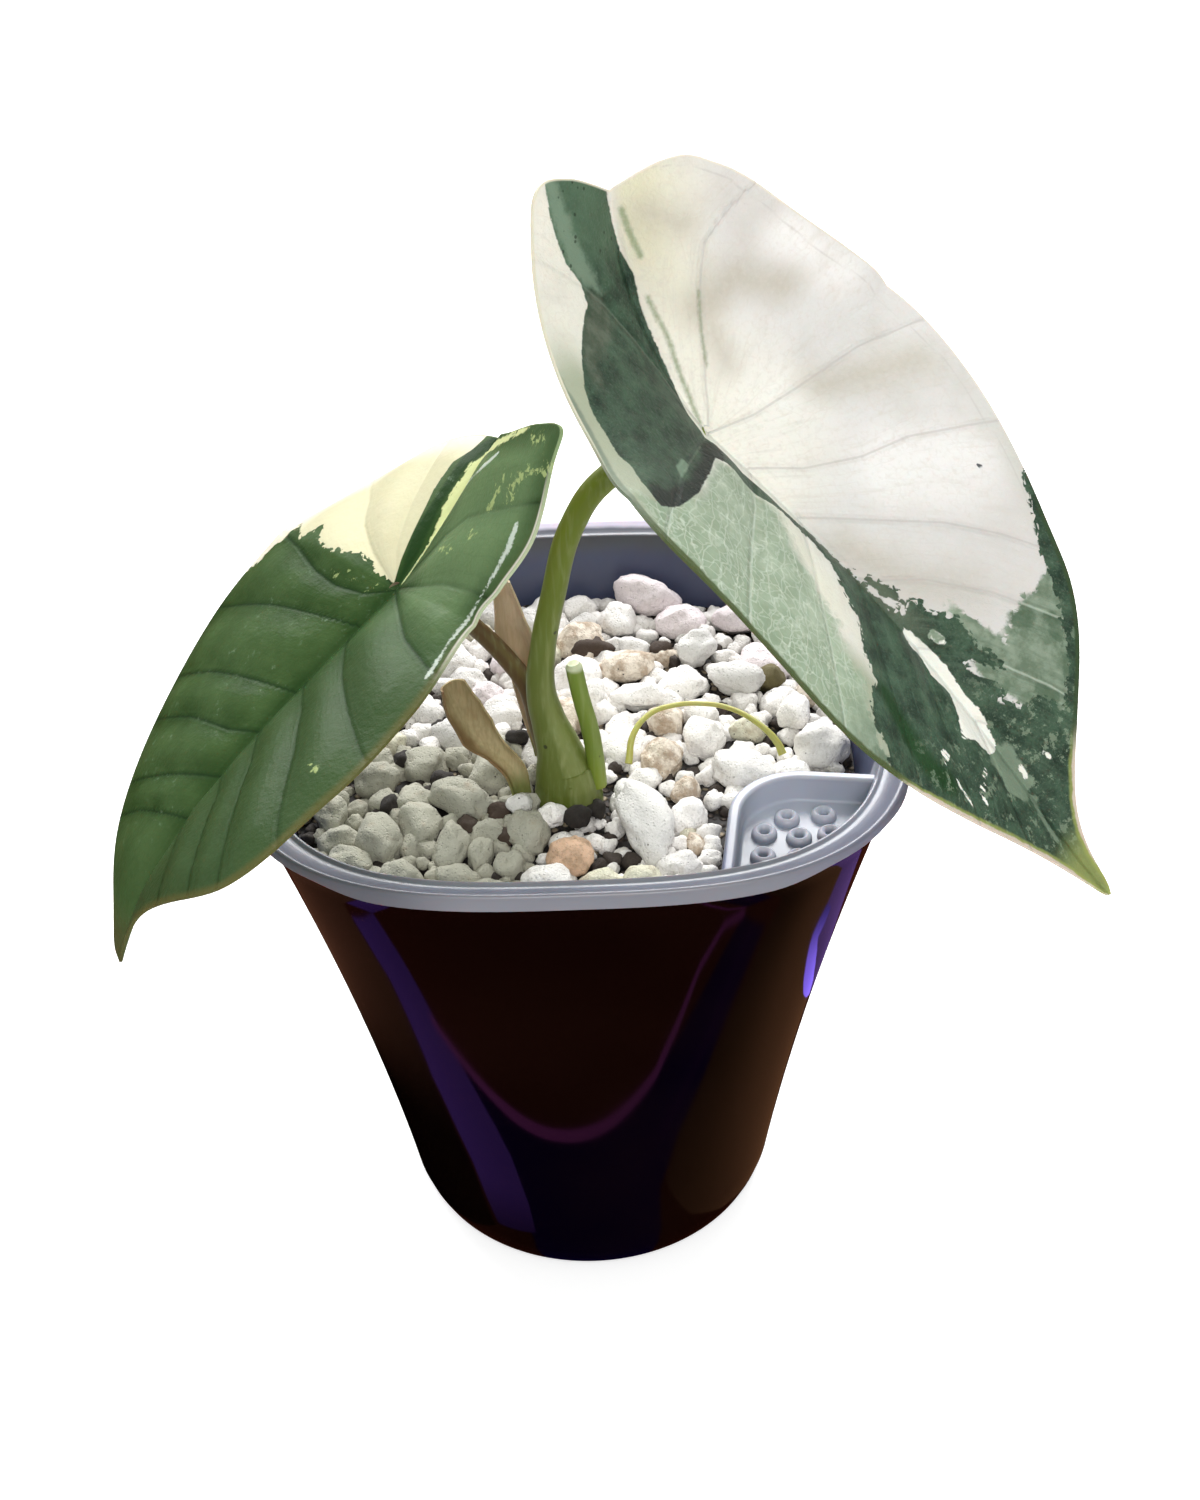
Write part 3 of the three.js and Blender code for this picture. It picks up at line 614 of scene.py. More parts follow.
grains = [pebble(seed, 3, 0.4, 4) for seed in range(11, 18)]
CORNER_GRIT = [
    (20.4, -24.4, 92.2, 1.9, 1.6, 1.5, 10, 0, "white"), (20.8, -27.6, 92.1, 1.7, 1.8, 1.5, 40, 0, "white"),
    (18.2, -27.2, 92, 2.1, 1.6, 1.6, 70, 0, "stained"), (20.2, -30.7, 92.1, 1.8, 1.6, 1.5, 20, 0, "white"),
    (20, -34.2, 92, 1.6, 1.8, 1.5, 0, 0, "white"), (19.4, -37.2, 92, 1.7, 1.5, 1.5, 50, 0, "white"),
    (17.4, -24.6, 91.9, 1.5, 1.4, 1.3, 0, 0, "mossy"),
]
pale_grit = CORNER_GRIT + grit_places(stones + CORNER_GRIT, 551, 340, 1.0, 2.8, 0.4)
grit = scatter("pumice_grit", pale_grit, grains, STONE_LOOKS)
grit.data.materials.append(pumice_look)
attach(grit, "root")

DARK_GRAINS = [
    (0.5, -22.9, 95, 2, 2.1, 2, 0, 0, "char"), (3.4, -20.2, 94.2, 1.6, 1.5, 1.5, 0, 0, "char"),
    (-29, -16, 93, 1.6, 1.7, 1.5, 0, 0, "char"), (-22, 5, 93, 1.5, 1.3, 1.3, 0, 0, "char"),
    (-9, 0, 94, 2.3, 1.5, 1.3, 0, 0, "char"),
    (-12, -19, 92.8, 2.2, 2, 1.9, 0, 0, "bark"), (33, 16, 93, 2.5, 2.4, 2.2, 0, 0, "moss"),
    (18, -20, 92.5, 2.1, 2.6, 2.4, 0, 0, "char"), (3, 27, 93, 3.8, 3, 2.4, 0, 0, "bark"),
    (31, 24, 92.7, 1.6, 1.5, 1.4, 0, 0, "char"), (21, 15, 92.5, 2, 1.6, 1.4, 0, 0, "char"),
    (-21, -10, 93.2, 2, 1.8, 1.6, 0, 0, "char"), (-26, -15, 93, 1.7, 1.5, 1.4, 0, 0, "char"),
    (-13, -9, 93.4, 2, 1.6, 1.5, 0, 0, "char"), (-16.5, -21.5, 92.8, 1.7, 1.9, 1.5, 0, 0, "bark"),
    (-27.5, -4, 93, 1.8, 1.6, 1.5, 0, 0, "char"), (-10.5, -24.5, 92.8, 1.5, 1.7, 1.4, 0, 0, "bark"),
    (15, 26, 92.5, 2.1, 2.1, 1.9, 0, 0, "bark"), (30, -14, 92.9, 1.6, 1.5, 1.4, 0, 0, "char"),
]
# Painted shade: dark grains at the front left are painted a little darker, for the leaf's shadow.
GRAIN_LOOKS = {
    "char": ((12, 11, 11), 0), "bark": ((56, 42, 32), 0.4), "moss": ((104, 96, 58), 0.6),
    "white": ((46, 38, 34), 0.2), "dim": ((40, 35, 32), 0.1),
}
more_dark = grit_places(stones + pale_grit + DARK_GRAINS, 977, 130, 0.8, 1.8, 0.6)
dark_grit = scatter("charcoal_and_bark", DARK_GRAINS + more_dark, grains, GRAIN_LOOKS)
for shape in grains:
    bpy.data.objects.remove(shape)
charcoal, start = new_finish("charcoal_and_bark")
spot = start.place()
grain = start.noise(spot, 0.5, 5, 0.7)
surface(start, {
    "Base Color": (0.25 * grain).blend(start.attribute("tint", "Color"), (86, 72, 58)),
    "Roughness": 0.7 + 0.2 * grain,
    "Normal": grain.bump(0.2),
})
dark_grit.data.materials.append(charcoal)
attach(dark_grit, "root")

bed_profile = [(0, 27.5), (liner_half(27.5) - 4.5, 27.5)]
bed_profile += [(liner_half(z) - LINER_WALL - 0.3, z) for z in rows_between(31, FILL_Z - 0.6, 12)]
bed_profile += [(half, FILL_Z - 0.6) for half in rows_between(42.5, 0, 1.6)]
bed = turned("substrate_bed", bed_profile)
for vertex in bed.data.vertices:
    if vertex.co.z > (FILL_Z - 1) * MM and Vector(vertex.co[:2]).length < 50 * MM:
        at = vertex.co / MM
        vertex.co.z += 0.5 * MM * noise.noise(at * 0.45) + 0.3 * MM * noise.noise(at * 1.1)
smooth(bed, 60)
bed_look, start = new_finish("damp_substrate")
spot = start.place()
lumps = start.cells(spot, 1.5, out=1)
gap = start.cells(spot, 1.5).rise(0.25, 0.55)
mixed = start.add("ShaderNodeSeparateColor", {}, {"Color": lumps}, 0)
bits = mixed.rise(0.55, 0.9).blend((58, 46, 38), (142, 128, 106))
surface(start, {
    "Base Color": gap.blend(bits, (24, 19, 17)),
    "Roughness": 0.75,
    "Normal": (1 - gap).bump(0.8),
})
bed.data.materials.append(bed_look)
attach(bed, "root")


# Stem and petioles: fleshy round stalks. Each is a tube swept along its own curve, thick at its
# foot, where it clasps the stem, and slim where it meets its leaf.
def mark(piece, name, values):
    """Keeps a number for each vertex under a name that a material reads."""
    field = piece.data.attributes.new(name, "FLOAT", "POINT")
    field.data.foreach_set("value", np.array(values, np.float32))


def stalk(name, path, radii):
    """A tapering tube through the path's points, in mm, with a radius at each, in mm."""
    bpy.ops.object.select_all(action="DESELECT")
    bpy.ops.curve.primitive_bezier_curve_add()
    tube = bpy.context.object
    tube.name = name
    line = tube.data.splines[0]
    line.bezier_points.add(len(path) - 2)
    for point, place, radius in zip(line.bezier_points, path, radii):
        point.co = [c * MM for c in place]
        point.handle_left_type = point.handle_right_type = "AUTO"
        point.radius = radius
    tube.data.dimensions = "3D"
    tube.data.resolution_u = 14
    tube.data.bevel_depth = MM
    tube.data.bevel_resolution = 8
    tube.data.use_fill_caps = True
    tube.data.use_radius = True
    bpy.ops.object.convert(target="MESH")
    bpy.ops.object.mode_set(mode="EDIT")
    bpy.ops.mesh.select_all(action="SELECT")
    bpy.ops.mesh.remove_doubles(threshold=0.001 * MM)
    bpy.ops.mesh.normals_make_consistent(inside=False)
    bpy.ops.object.mode_set(mode="OBJECT")
    bpy.ops.object.transform_apply(location=True, rotation=True, scale=True)
    smooth(tube, 60)
    # Painted highlight: how much each point faces one way is kept, and the colour is paled there, as if lit
    # from that side.
    way = Vector((0.45, -0.8, 0.4)).normalized()
    mark(tube, "lit", [vertex.normal.dot(way) for vertex in tube.data.vertices])
    return tube


def stalk_finish(name, foot, middle, top, shine=0.3, dry=None):
    """Flesh whose colour changes with height, with fine streaks along it, a painted highlight down
    one side, a few specks and, on a cut stalk, a dry top."""
    material, start = new_finish(name)
    spot = start.place()
    height = start.add("ShaderNodeSeparateXYZ", {}, {"Vector": spot}, 2)
    streaks = start.noise(start.place((1, 1, 0.07)), 0.7, 3)
    drift = height + 6 * (streaks - 0.5)
    body = drift.rise(112, 138).blend(drift.rise(94, 104).blend(foot, middle), top)
    # Painted highlight down the side that faces the light.
    lit = (start.attribute("lit") + 0.15 * (streaks - 0.5)).rise(0.8, 0.98)
    body = coated(body, [(0.22 * streaks.rise(0.45, 0.75), (160, 168, 120)), (shine * lit, (172, 180, 118))])
    if dry:
        body = height.rise(116.5, 117.2).blend(body, dry)
    surface(start, {
        "Base Color": start.cells(spot, 4.5).rise(0.1, 0.07).blend(body, (58, 62, 26)),
        "Roughness": 0.34 + 0.2 * streaks,
        "Subsurface Weight": 0.15,
        "Subsurface Scale": 2 * MM,
        "Normal": streaks.bump(0.05),
    })
    return material


stem = stalk(
    "stem_base",
    [(-1, -13.2, 77), (-1, -13.4, 84), (-1, -13.6, 91), (-1, -13.6, 95.5), (-1.2, -13.6, 98.6)],
    [4, 5.7, 5.5, 5.1, 4.5])
large_petiole = stalk(
    "large_petiole_stalk",
    [(-1.4, -13.8, 96.6), (-2.2, -13.7, 101.5), (-3.6, -13.1, 106.5), (-4.5, -12.8, 111.8),
     (-3.9, -12.8, 119.1), (-2.1, -13.2, 128.1), (1.8, -14.5, 142.3), (6.6, -15.6, 149.6),
     (13, -15, 153), (20.6, -13.8, 154.6)],
    [4.7, 3.5, 2.7, 2.3, 1.98, 1.85, 1.85, 1.85, 1.8, 1.4])
small_petiole = stalk(
    "small_petiole_stalk",
    [(-3.8, -10.4, 96.6), (-5.2, -8.8, 103), (-6.7, -8.2, 109.4), (-8.9, -8.2, 113.6), (-13.7, -10, 121.4),
     (-17.4, -15.4, 128.6), (-20, -23.4, 136.4), (-21.4, -31, 142), (-22.2, -35.9, 144.5)],
    [1.9, 1.75, 1.6, 1.5, 1.4, 1.35, 1.35, 1.35, 1.2])
cut_stub = stalk(
    "cut_petiole_stub",
    [(3.6, -14.8, 95), (3.4, -14.8, 100), (2.7, -14.8, 106), (1.6, -14.8, 111.5), (0.7, -14.7, 117.2),
     (0.6, -14.7, 117.8)],
    [1.5, 1.4, 1.4, 1.35, 1.3, 0.9])
green_flesh = stalk_finish("green_flesh", (90, 102, 34), (100, 112, 44), (102, 116, 24))
brown_flesh = stalk_finish("brownish_flesh", (108, 108, 44), (94, 72, 38), (80, 60, 34), 0.1)
stub_flesh = stalk_finish(
    "stub_flesh", (132, 148, 52), (112, 134, 44), (108, 132, 42), 0.15, (186, 194, 158))
for piece, node, material, slot in (
    (stem, "stem", green_flesh, "green_stem"),
    (large_petiole, "large_petiole", green_flesh, "green_stem"),
    (small_petiole, "small_petiole", brown_flesh, "brown_stem"),
    (cut_stub, "cut_stub", stub_flesh, "green_stem"),
):
    piece.data.materials.append(material)
    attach(piece, "root")
    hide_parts(node)


# Large leaf: one thin, leathery blade on its petiole, half of it cream white and half green. The
# blade is drawn flat, u along the midrib from the petiole's joint and v to its left, and bent into
# place. Its surface swells between the sunken veins.
LEAF_MAP = 200
VEIN_GAP = 12.0


def area(*outline):
    return outline, None


def line(half, *points):
    """A stroke along a line, with half its width."""
    return points, half


LARGE_LEAF = {
    "joint": (21, -13.6, 154.9), "heading": -32.9, "rise": -43.6, "roll": -0.4,
    "front": 91.7, "back": 36.9, "half_width": 36, "arch_front": 8, "arch_back": -42.5,
    "twist_front": 10.2, "twist_back": 24.6, "fold_left": 21.7, "fold_right": 16.9,
    "camber": -0.02, "hook": 13.1, "sway": 6.6, "droop": 0,
    "left": [(91.7, 0), (90.6, 0.9), (76.7, 5), (55.3, 23), (40, 29.7), (19.1, 36.4), (1.4, 38.2),
             (-11.6, 33.4), (-33.2, 20.9), (-40.3, 12.8), (-40.6, 7.7), (-36.9, 0)],
    "right": [(91.7, 0), (90.6, 0.9), (76.7, 9.3), (55.3, 26.2), (40, 33.6), (19.1, 35.4), (1.4, 35.8),
              (-11.6, 27), (-33.2, 17.7), (-41, 14), (-40.8, 7.8), (-36.9, 0)],
    "left_veins": [
        [(0, 0), (-3, 2.5), (-10, 6.5), (-17, 9), (-25.5, 12), (-32.5, 18.5), (-40, 28)],
        [(0, 0), (2, 7), (3, 15.5), (4, 27), (6.5, 36), (10, 46)],
        [(7, 0), (12.5, 6.5), (16.5, 14.5), (18.5, 22), (24, 32.5), (31, 44)],
        [(17, 0), (25, 9), (31.5, 16.5), (38, 22), (44, 26), (54, 33)],
        [(30, 0), (36, 8), (44, 15), (53, 20.5), (66, 28)],
        [(43, 0), (50, 7), (60, 12.5), (72, 18)],
        [(57, 0), (64, 5), (76, 10)],
    ],
    "right_veins": [
        [(0, 0), (-4, -0.8), (-11, -2), (-17, -4), (-23, -7), (-28, -10.5), (-33, -16), (-40, -28)],
        [(0, 0), (1, -9), (2, -18), (4.5, -28), (9, -44)],
        [(8, 0), (12, -8), (15, -17), (19, -28), (26, -44)],
        [(18, 0), (24, -8), (30, -17), (37, -27), (46, -40)],
        [(30, 0), (37, -8), (45, -16), (54, -24), (66, -34)],
        [(43, 0), (51, -7), (61, -14), (74, -22)],
        [(57, 0), (66, -5), (79, -11)],
    ],
    "swell": 0.75,
    "patches": {
        "dark": [
            area((-43, -0.4), (-37, -0.7), (-33.5, -0.4), (-28.6, 0.2), (-24.7, 1.2), (-19.6, 0.7),
                (-13.7, 0.6), (-8.7, 0.1), (-3.9, -2.1), (-0.7, -2.2), (2.5, -3), (3.2, -6.1),
                (4.2, -11.1), (5.2, -19.2), (4.9, -26.1), (3.2, -30.4), (-0.1, -29.8), (-3.7, -26.9),
                (-5.6, -26.9), (-9.2, -24.7), (-12.8, -23.3), (-16, -21.1), (-20.1, -17.2),
                (-22.8, -13.7), (-24.8, -10.6), (-27.2, -10.2), (-29, -10.9), (-30.7, -11.9),
                (-34.3, -12.7), (-37.6, -12.9), (-43, -12.4)),
            area((-2, -3), (2, -1.8), (7, -2.8), (10, -1.9), (14, -2.2), (19, -0.8), (27, 0), (30.7, 0.5),
                (34.9, 0.7), (38.1, 1.8), (37.2, 2.6), (36.6, 3.8), (37.9, 5.5), (38.3, 4.1), (40.5, 5.2),
                (43.1, 7.7), (45.9, 8), (48.8, 7.6), (52.2, 9.5), (54.2, 8.8), (52.1, 6.8), (49.4, 5),
                (49.3, 4), (52.1, 4.7), (55.3, 6.8), (57.1, 6.3), (55.9, 4.2), (58.3, 5.7), (60.1, 7.6),
                (59.7, 10), (62.1, 11.5), (64.7, 11.5), (63.4, 13.4), (58.5, 17.8), (52.5, 21.4),
                (45.5, 24.4), (39, 28.2), (33, 31.4), (36, 36), (62, 28), (93, 3), (93, -2), (67, -22),
                (52, -31), (47.1, -27.6), (43.8, -26.4), (41.9, -24.5), (40.7, -21), (40.6, -18.2),
                (36.8, -15.4), (35, -12.8), (33.2, -10.2), (28.3, -7), (24.5, -3.2), (21, -2.3),
                (16, -3.2), (11.7, -4.5), (8.5, -5.2), (5.2, -5), (3, -6.5)),
            area((28.5, 0.8), (31, 2.2), (34.5, 3.6), (36.5, 3), (34, 1.4), (31, 0.9)),
        ],
        "holes": [
            area((39.4, 0.6), (42.5, 1.3), (48.2, 1.8), (52.9, 1.2), (56.4, 1.7), (62.4, 0.2), (62.3, -3),
                (61, -3.7), (58.3, -5.1), (56.6, -8), (53.6, -3.9), (51.2, -1.2), (47.4, -2.5),
                (44.3, -0.9), (42, -1.7)),
            area((54.5, -16.1), (55, -13.6), (56.4, -13.9), (56.3, -17.4)),
            line(0.5, (62.3, -8.5), (63.6, -12.4), (65.1, -13.5)),
            line(0.4, (59.3, -16.7), (61.8, -16.6), (63.4, -16.5)),
            line(0.8, (43.1, 3.2), (44.5, 3.7)),
            line(0.35, (67.4, 5.5), (69, 5.9)),
            line(0.35, (67, 1.3), (68.7, 1)),
        ],
        "jade": [
            area((3, -29), (5.5, -20), (4.5, -13), (3, -7), (7, -4.5), (11.5, -4.5), (16, -5), (19, -10),
                (23, -10.5), (27, -13), (31, -14.5), (34, -19), (39, -20.5), (42, -25.5), (47, -28),
                (51, -27), (40, -40), (12, -40), (0, -33)),
            area((40, 31), (46, 25), (48, 20), (47.5, 14), (50.5, 11), (45.5, 9.7), (41.5, 8), (46, 6),
                (52, 5), (57, 5.5), (61, 8), (65, 12), (66, 20), (58, 28), (46, 33)),
            line(1.2, (43, 3.2), (44.2, 3.7)),
        ],
        "flecks": [
            line(0.42, (-34, 1.4), (-31.4, 1.8), (-27, 2.7)),
            line(0.3, (-21.1, 2), (-14.5, 2.5), (-6.6, 1.2), (-1.7, 0)),
            line(0.2, (-18.6, 9.3), (-15, 8.2), (-8, 5.7)),
        ],
        # Painted sheen: where a greyish veil of reflected light lies over the dark green.
        "grey": [
            area((-27.2, -9), (-26.5, -8.8), (-23.4, -6.9), (-20.1, -6.9), (-18.2, -11.7), (-17, -16),
                (-13.8, -18.1), (-16.5, -19.6), (-19.9, -17), (-22.6, -13.6), (-24.8, -10.6)),
        ],
        "mottle": [
            area((-42, -13), (-36, -12.7), (-30, -11.7), (-26.8, -9.9), (-25, -7), (-28, -7.2), (-33, -9),
                (-42, -10.5)),
        ],
        "spot": [area((0.8, -17.1), (0.5, -14), (1.4, -13.7), (2, -18.2))],
        "low_jade": [
            area((62, -0.4), (62.6, 2.1), (66.2, 1.9), (70.7, 1.1), (71.5, -2.6), (67.8, -5.6),
                (64.7, -4.4), (62.1, -4.5)),
            line(0.8, (72.3, -0.4), (75.7, -2.2), (78.6, -2.8)),
        ],
        # Painted shade: a wedge where the folded blade lies in shadow.
        "wedge": [line(1.6, (43, -17.7), (46.6, -18.9), (50.2, -20), (55.3, -20.5), (58.3, -19))],
        "ring": [line(2.0, (2.2, -4), (4, -9.7), (4.9, -17.2), (4.3, -24.5), (2.4, -28.5))],
        "far_dark": [
            line(1.3, (49.4, 15), (50.4, 16.6)),
            line(1.3, (52.9, 19.6), (55, 18.6)),
            line(1.1, (58.8, 17.4), (60.8, 16.2)),
            line(1.2, (60, 11.2), (62, 12.2)),
        ],
        "sallow": [
            line(8, (-36, 6), (-20, 5), (-2, 0)),
            line(6, (10, -3), (20, -7), (42, -18)),
        ],
        # Painted shade: soft patches where the quilted cream blade shades itself.
        "shade": [
            line(4, (-16, 9), (-18, 15), (-13, 21)),
            line(3.6, (5, 18), (7.5, 24), (10.5, 32)),
            line(3, (-33, 5), (-30, 9)),
            line(2, (-12, 9), (-6, 8.4)),
            line(4, (25, 2), (36, 6), (42, 13)),
        ],
        # Painted light: places on the cream half painted paler where light falls brightest.
        "bright": [
            line(6, (21, 17), (27, 24)),
            line(3, (0, 3), (3, 14)),
            line(3, (-22, 24), (-8, 31)),
        ],
        "collective": [
            line(2, (-39.5, 4.5), (-39.6, 11), (-36, 16.5), (-32.5, 18.6), (-28.5, 21.6), (-22, 25),
                (-15, 28.4), (-8.5, 32), (-3, 35), (6.5, 35.5), (13, 35.3), (21, 33.6), (27.5, 32.2),
                (34.5, 29.8), (43.5, 26), (50, 22)),
        ],
        "speck": [line(0.45, (28.3, 26.7), (28.9, 26.8))],
    },
}


def leaf_axes(leaf):
    heading, rise, roll = (math.radians(leaf[key]) for key in ("heading", "rise", "roll"))
    level = math.cos(rise)
    along = Vector((math.cos(heading) * level, math.sin(heading) * level, math.sin(rise)))
    side = Vector((0, 0, 1)).cross(along).normalized()
    left = side * math.cos(roll) + along.cross(side) * math.sin(roll)
    return np.array(along), np.array(left), np.array(along.cross(left))


def blade_points(leaf, u, v):
    """Where points of the flat leaf lie on the bent one, in mm."""
    along, left, out = leaf_axes(leaf)
    in_front = u >= 0
    sign = np.where(in_front, 1, -1)
    reach = np.where(in_front, u / leaf["front"], -u / leaf["back"])
    arch = np.radians(np.where(in_front, leaf["arch_front"], leaf["arch_back"]))
    span = np.where(in_front, leaf["front"], leaf["back"]) / arch
    forward = sign * span * np.sin(arch * reach)
    sink = span * (1 - np.cos(arch * reach))
    slope = sign * arch * reach
    twist = np.radians(np.where(in_front, leaf["twist_front"], leaf["twist_back"])) * reach
    fold = np.radians(np.where(v > 0, leaf["fold_left"], leaf["fold_right"]))
    lift = -leaf["camber"] * (v / leaf["half_width"]) ** 2 * leaf["half_width"]
    wide = np.sign(v) * (np.abs(v) * np.cos(fold) - lift * np.sin(fold))
    high = np.abs(v) * np.sin(fold) + lift * np.cos(fold)
    tip = np.where(in_front, reach, 0)
    side = wide * np.cos(twist) - high * np.sin(twist)
    side += leaf["hook"] * tip ** 3 + leaf["sway"] * np.sin(math.pi * tip)
    raised = wide * np.sin(twist) + high * np.cos(twist)
    ahead = forward + raised * np.sin(slope)
    above = raised * np.cos(slope) - sink - leaf["droop"] * tip ** 4
    moved = np.array(leaf["joint"]) + np.outer(ahead, along) + np.outer(side, left)
    return moved + np.outer(above, out)


def blade_normals(leaf, u, v):
    step = 0.4
    onward = blade_points(leaf, u + step, v) - blade_points(leaf, u - step, v)
    sideways = blade_points(leaf, u, v + step) - blade_points(leaf, u, v - step)
    normals = np.cross(onward, sideways)
    return normals / np.linalg.norm(normals, axis=1)[:, None]


def through(points, per_span):
    """A smooth line through flat points."""
    line = np.array([points[0], *points, points[-1]], float)
    rows = []
    for a, b, c, d in zip(line, line[1:], line[2:], line[3:]):
        for t in np.arange(per_span) / per_span:
            rows.append(0.5 * (2 * b + (c - a) * t + (2 * a - 5 * b + 4 * c - d) * t * t
                               + (3 * b - a - 3 * c + d) * t ** 3))
    return np.array([*rows, points[-1]])


def leaf_edge(leaf, per_span):
    """The flat outline, from the tip up the left half to the notch and back up the right half."""
    left = through(leaf["left"], per_span)
    right = through(leaf["right"], per_span) * (1, -1)
    return np.vstack([left[:-1], right[::-1]])


def line_distance(u, v, line):
    """Distance from each point to an open line, and on which side of it the point lies."""
    best = np.full(u.shape, 1e9)
    side = np.zeros(u.shape)
    for (a, b), (c, d) in zip(line, line[1:]):
        t = np.clip(((u - a) * (c - a) + (v - b) * (d - b)) / ((c - a) ** 2 + (d - b) ** 2), 0, 1)
        far = np.hypot(u - a - t * (c - a), v - b - t * (d - b))
        closer = far < best
        best = np.where(closer, far, best)
        side = np.where(closer, np.sign((c - a) * (v - b) - (d - b) * (u - a)), side)
    return best, side


def patch(u, v, outline):
    """How deep each point lies in a closed outline, in mm; negative outside it."""
    ring = [*outline, outline[0]]
    inside = np.zeros(u.shape, bool)
    for (a, b), (c, d) in zip(ring, ring[1:]):
        if b != d:
            inside ^= ((b > v) != (d > v)) & (u < (c - a) * (v - b) / (d - b) + a)
    depth, _ = line_distance(u, v, ring)
    return np.where(inside, depth, -depth)


def depth_in(u, v, shapes):
    """The same for a group of areas and strokes, in whichever the point lies deepest."""
    return np.maximum.reduce([
        patch(u, v, points) if half is None else half - line_distance(u, v, points)[0]
        for points, half in shapes])


def vein_phase(leaf, u, v):
    """A value that is whole on each side vein, and the width between the two veins around it."""
    phase = np.zeros(u.shape)
    width = np.full(u.shape, VEIN_GAP)
    for half, side, turn in ((v >= 0, "left_veins", -1), (v < 0, "right_veins", 1)):
        passed = []
        for line in leaf[side]:
            far, facing = line_distance(u, v, line)
            passed.append(far * facing * turn)
        for k, past in enumerate(passed):
            if k + 1 < len(passed):
                onward = np.maximum(-passed[k + 1], 0.01)
            else:
                onward = np.full(u.shape, VEIN_GAP)
            here = half & (past >= 0)
            gap = np.maximum(past, 0) + onward
            phase = np.where(here, k + 1 + np.clip(np.maximum(past, 0) / gap, 0, 1), phase)
            width = np.where(here, gap, width)
        before = half & (passed[0] < 0)
        phase = np.where(before, 1 - np.clip(-passed[0] / VEIN_GAP, 0, 0.5), phase)
        width = np.where(before, VEIN_GAP, width)
    return phase, width


def swelling(leaf, v, phase, width, margin):
    """How far the blade stands up between its veins, in mm."""
    between = np.abs(np.sin(math.pi * (phase % 1))) ** 1.3
    from_rib = 1 - np.exp(-(v / 4.0) ** 2)
    from_edge = np.clip(margin / 5, 0, 1)
    rib = 0.25 * np.exp(-(v / 1.6) ** 2)
    return leaf["swell"] * (between * np.minimum(width / 8, 1) * from_rib * from_edge - rib)


def leaf_blade(name, leaf, rows, per_span):
    """The bent blade with its relief and thickness, and the numbers that its colours read."""
    edge = leaf_edge(leaf, per_span)
    around = len(edge) - 1
    bpy.ops.object.select_all(action="DESELECT")
    bpy.ops.mesh.primitive_grid_add(x_subdivisions=around, y_subdivisions=rows, size=2)
    blade = bpy.context.object
    blade.name = name
    mesh = blade.data
    flat = np.zeros(len(mesh.vertices) * 3)
    mesh.vertices.foreach_get("co", flat)
    flat = flat.reshape(-1, 3)
    column = np.rint((flat[:, 0] + 1) / 2 * around).astype(int)
    share = ((flat[:, 1] + 1) / 2) ** 0.85
    u, v = edge[column, 0] * share, edge[column, 1] * share
    margin = patch(u, v, [tuple(p) for p in edge[:-1]])
    phase, width = vein_phase(leaf, u, v)
    lifted = swelling(leaf, v, phase, width, margin)
    places = blade_points(leaf, u, v) + blade_normals(leaf, u, v) * lifted[:, None]
    mesh.vertices.foreach_set("co", (places * MM).ravel())
    read = {"margin": margin, "phase": phase, "vein_width": width, "flat_u": u, "flat_v": v}
    read.update({key: depth_in(u, v, shapes) for key, shapes in leaf["patches"].items()})
    for key, values in read.items():
        mark(blade, key, values)
    corners = np.zeros(len(mesh.loops), int)
    mesh.loops.foreach_get("vertex_index", corners)
    flat_map = np.stack([u[corners] / LEAF_MAP + 0.5, v[corners] / LEAF_MAP + 0.5], 1)
    mesh.uv_layers[0].data.foreach_set("uv", flat_map.astype(np.float32).ravel())
    mesh.uv_layers[0].name = "flat_leaf"
    mesh.update()
    bpy.ops.object.mode_set(mode="EDIT")
    bpy.ops.mesh.select_all(action="SELECT")
    bpy.ops.mesh.remove_doubles(threshold=0.0015 * MM)
    bpy.ops.object.mode_set(mode="OBJECT")
    out = leaf_axes(leaf)[2]
    if sum(Vector(out).dot(face.normal) for face in mesh.polygons) < 0:
        bpy.ops.object.mode_set(mode="EDIT")
        bpy.ops.mesh.select_all(action="SELECT")
        bpy.ops.mesh.flip_normals()
        bpy.ops.object.mode_set(mode="OBJECT")
    mesh.materials.append(None)
    mesh.materials.append(None)
    slots = {"material_offset": 1, "material_offset_rim": 0}
    use_modifier(blade, "SOLIDIFY", thickness=0.45 * MM, offset=0, **slots)
    smooth(blade, 60)
    return blade


def off_whole(value):
    """How far a value is from the nearest whole number."""
    return abs(value.math("FRACT", value + 0.5) - 0.5)


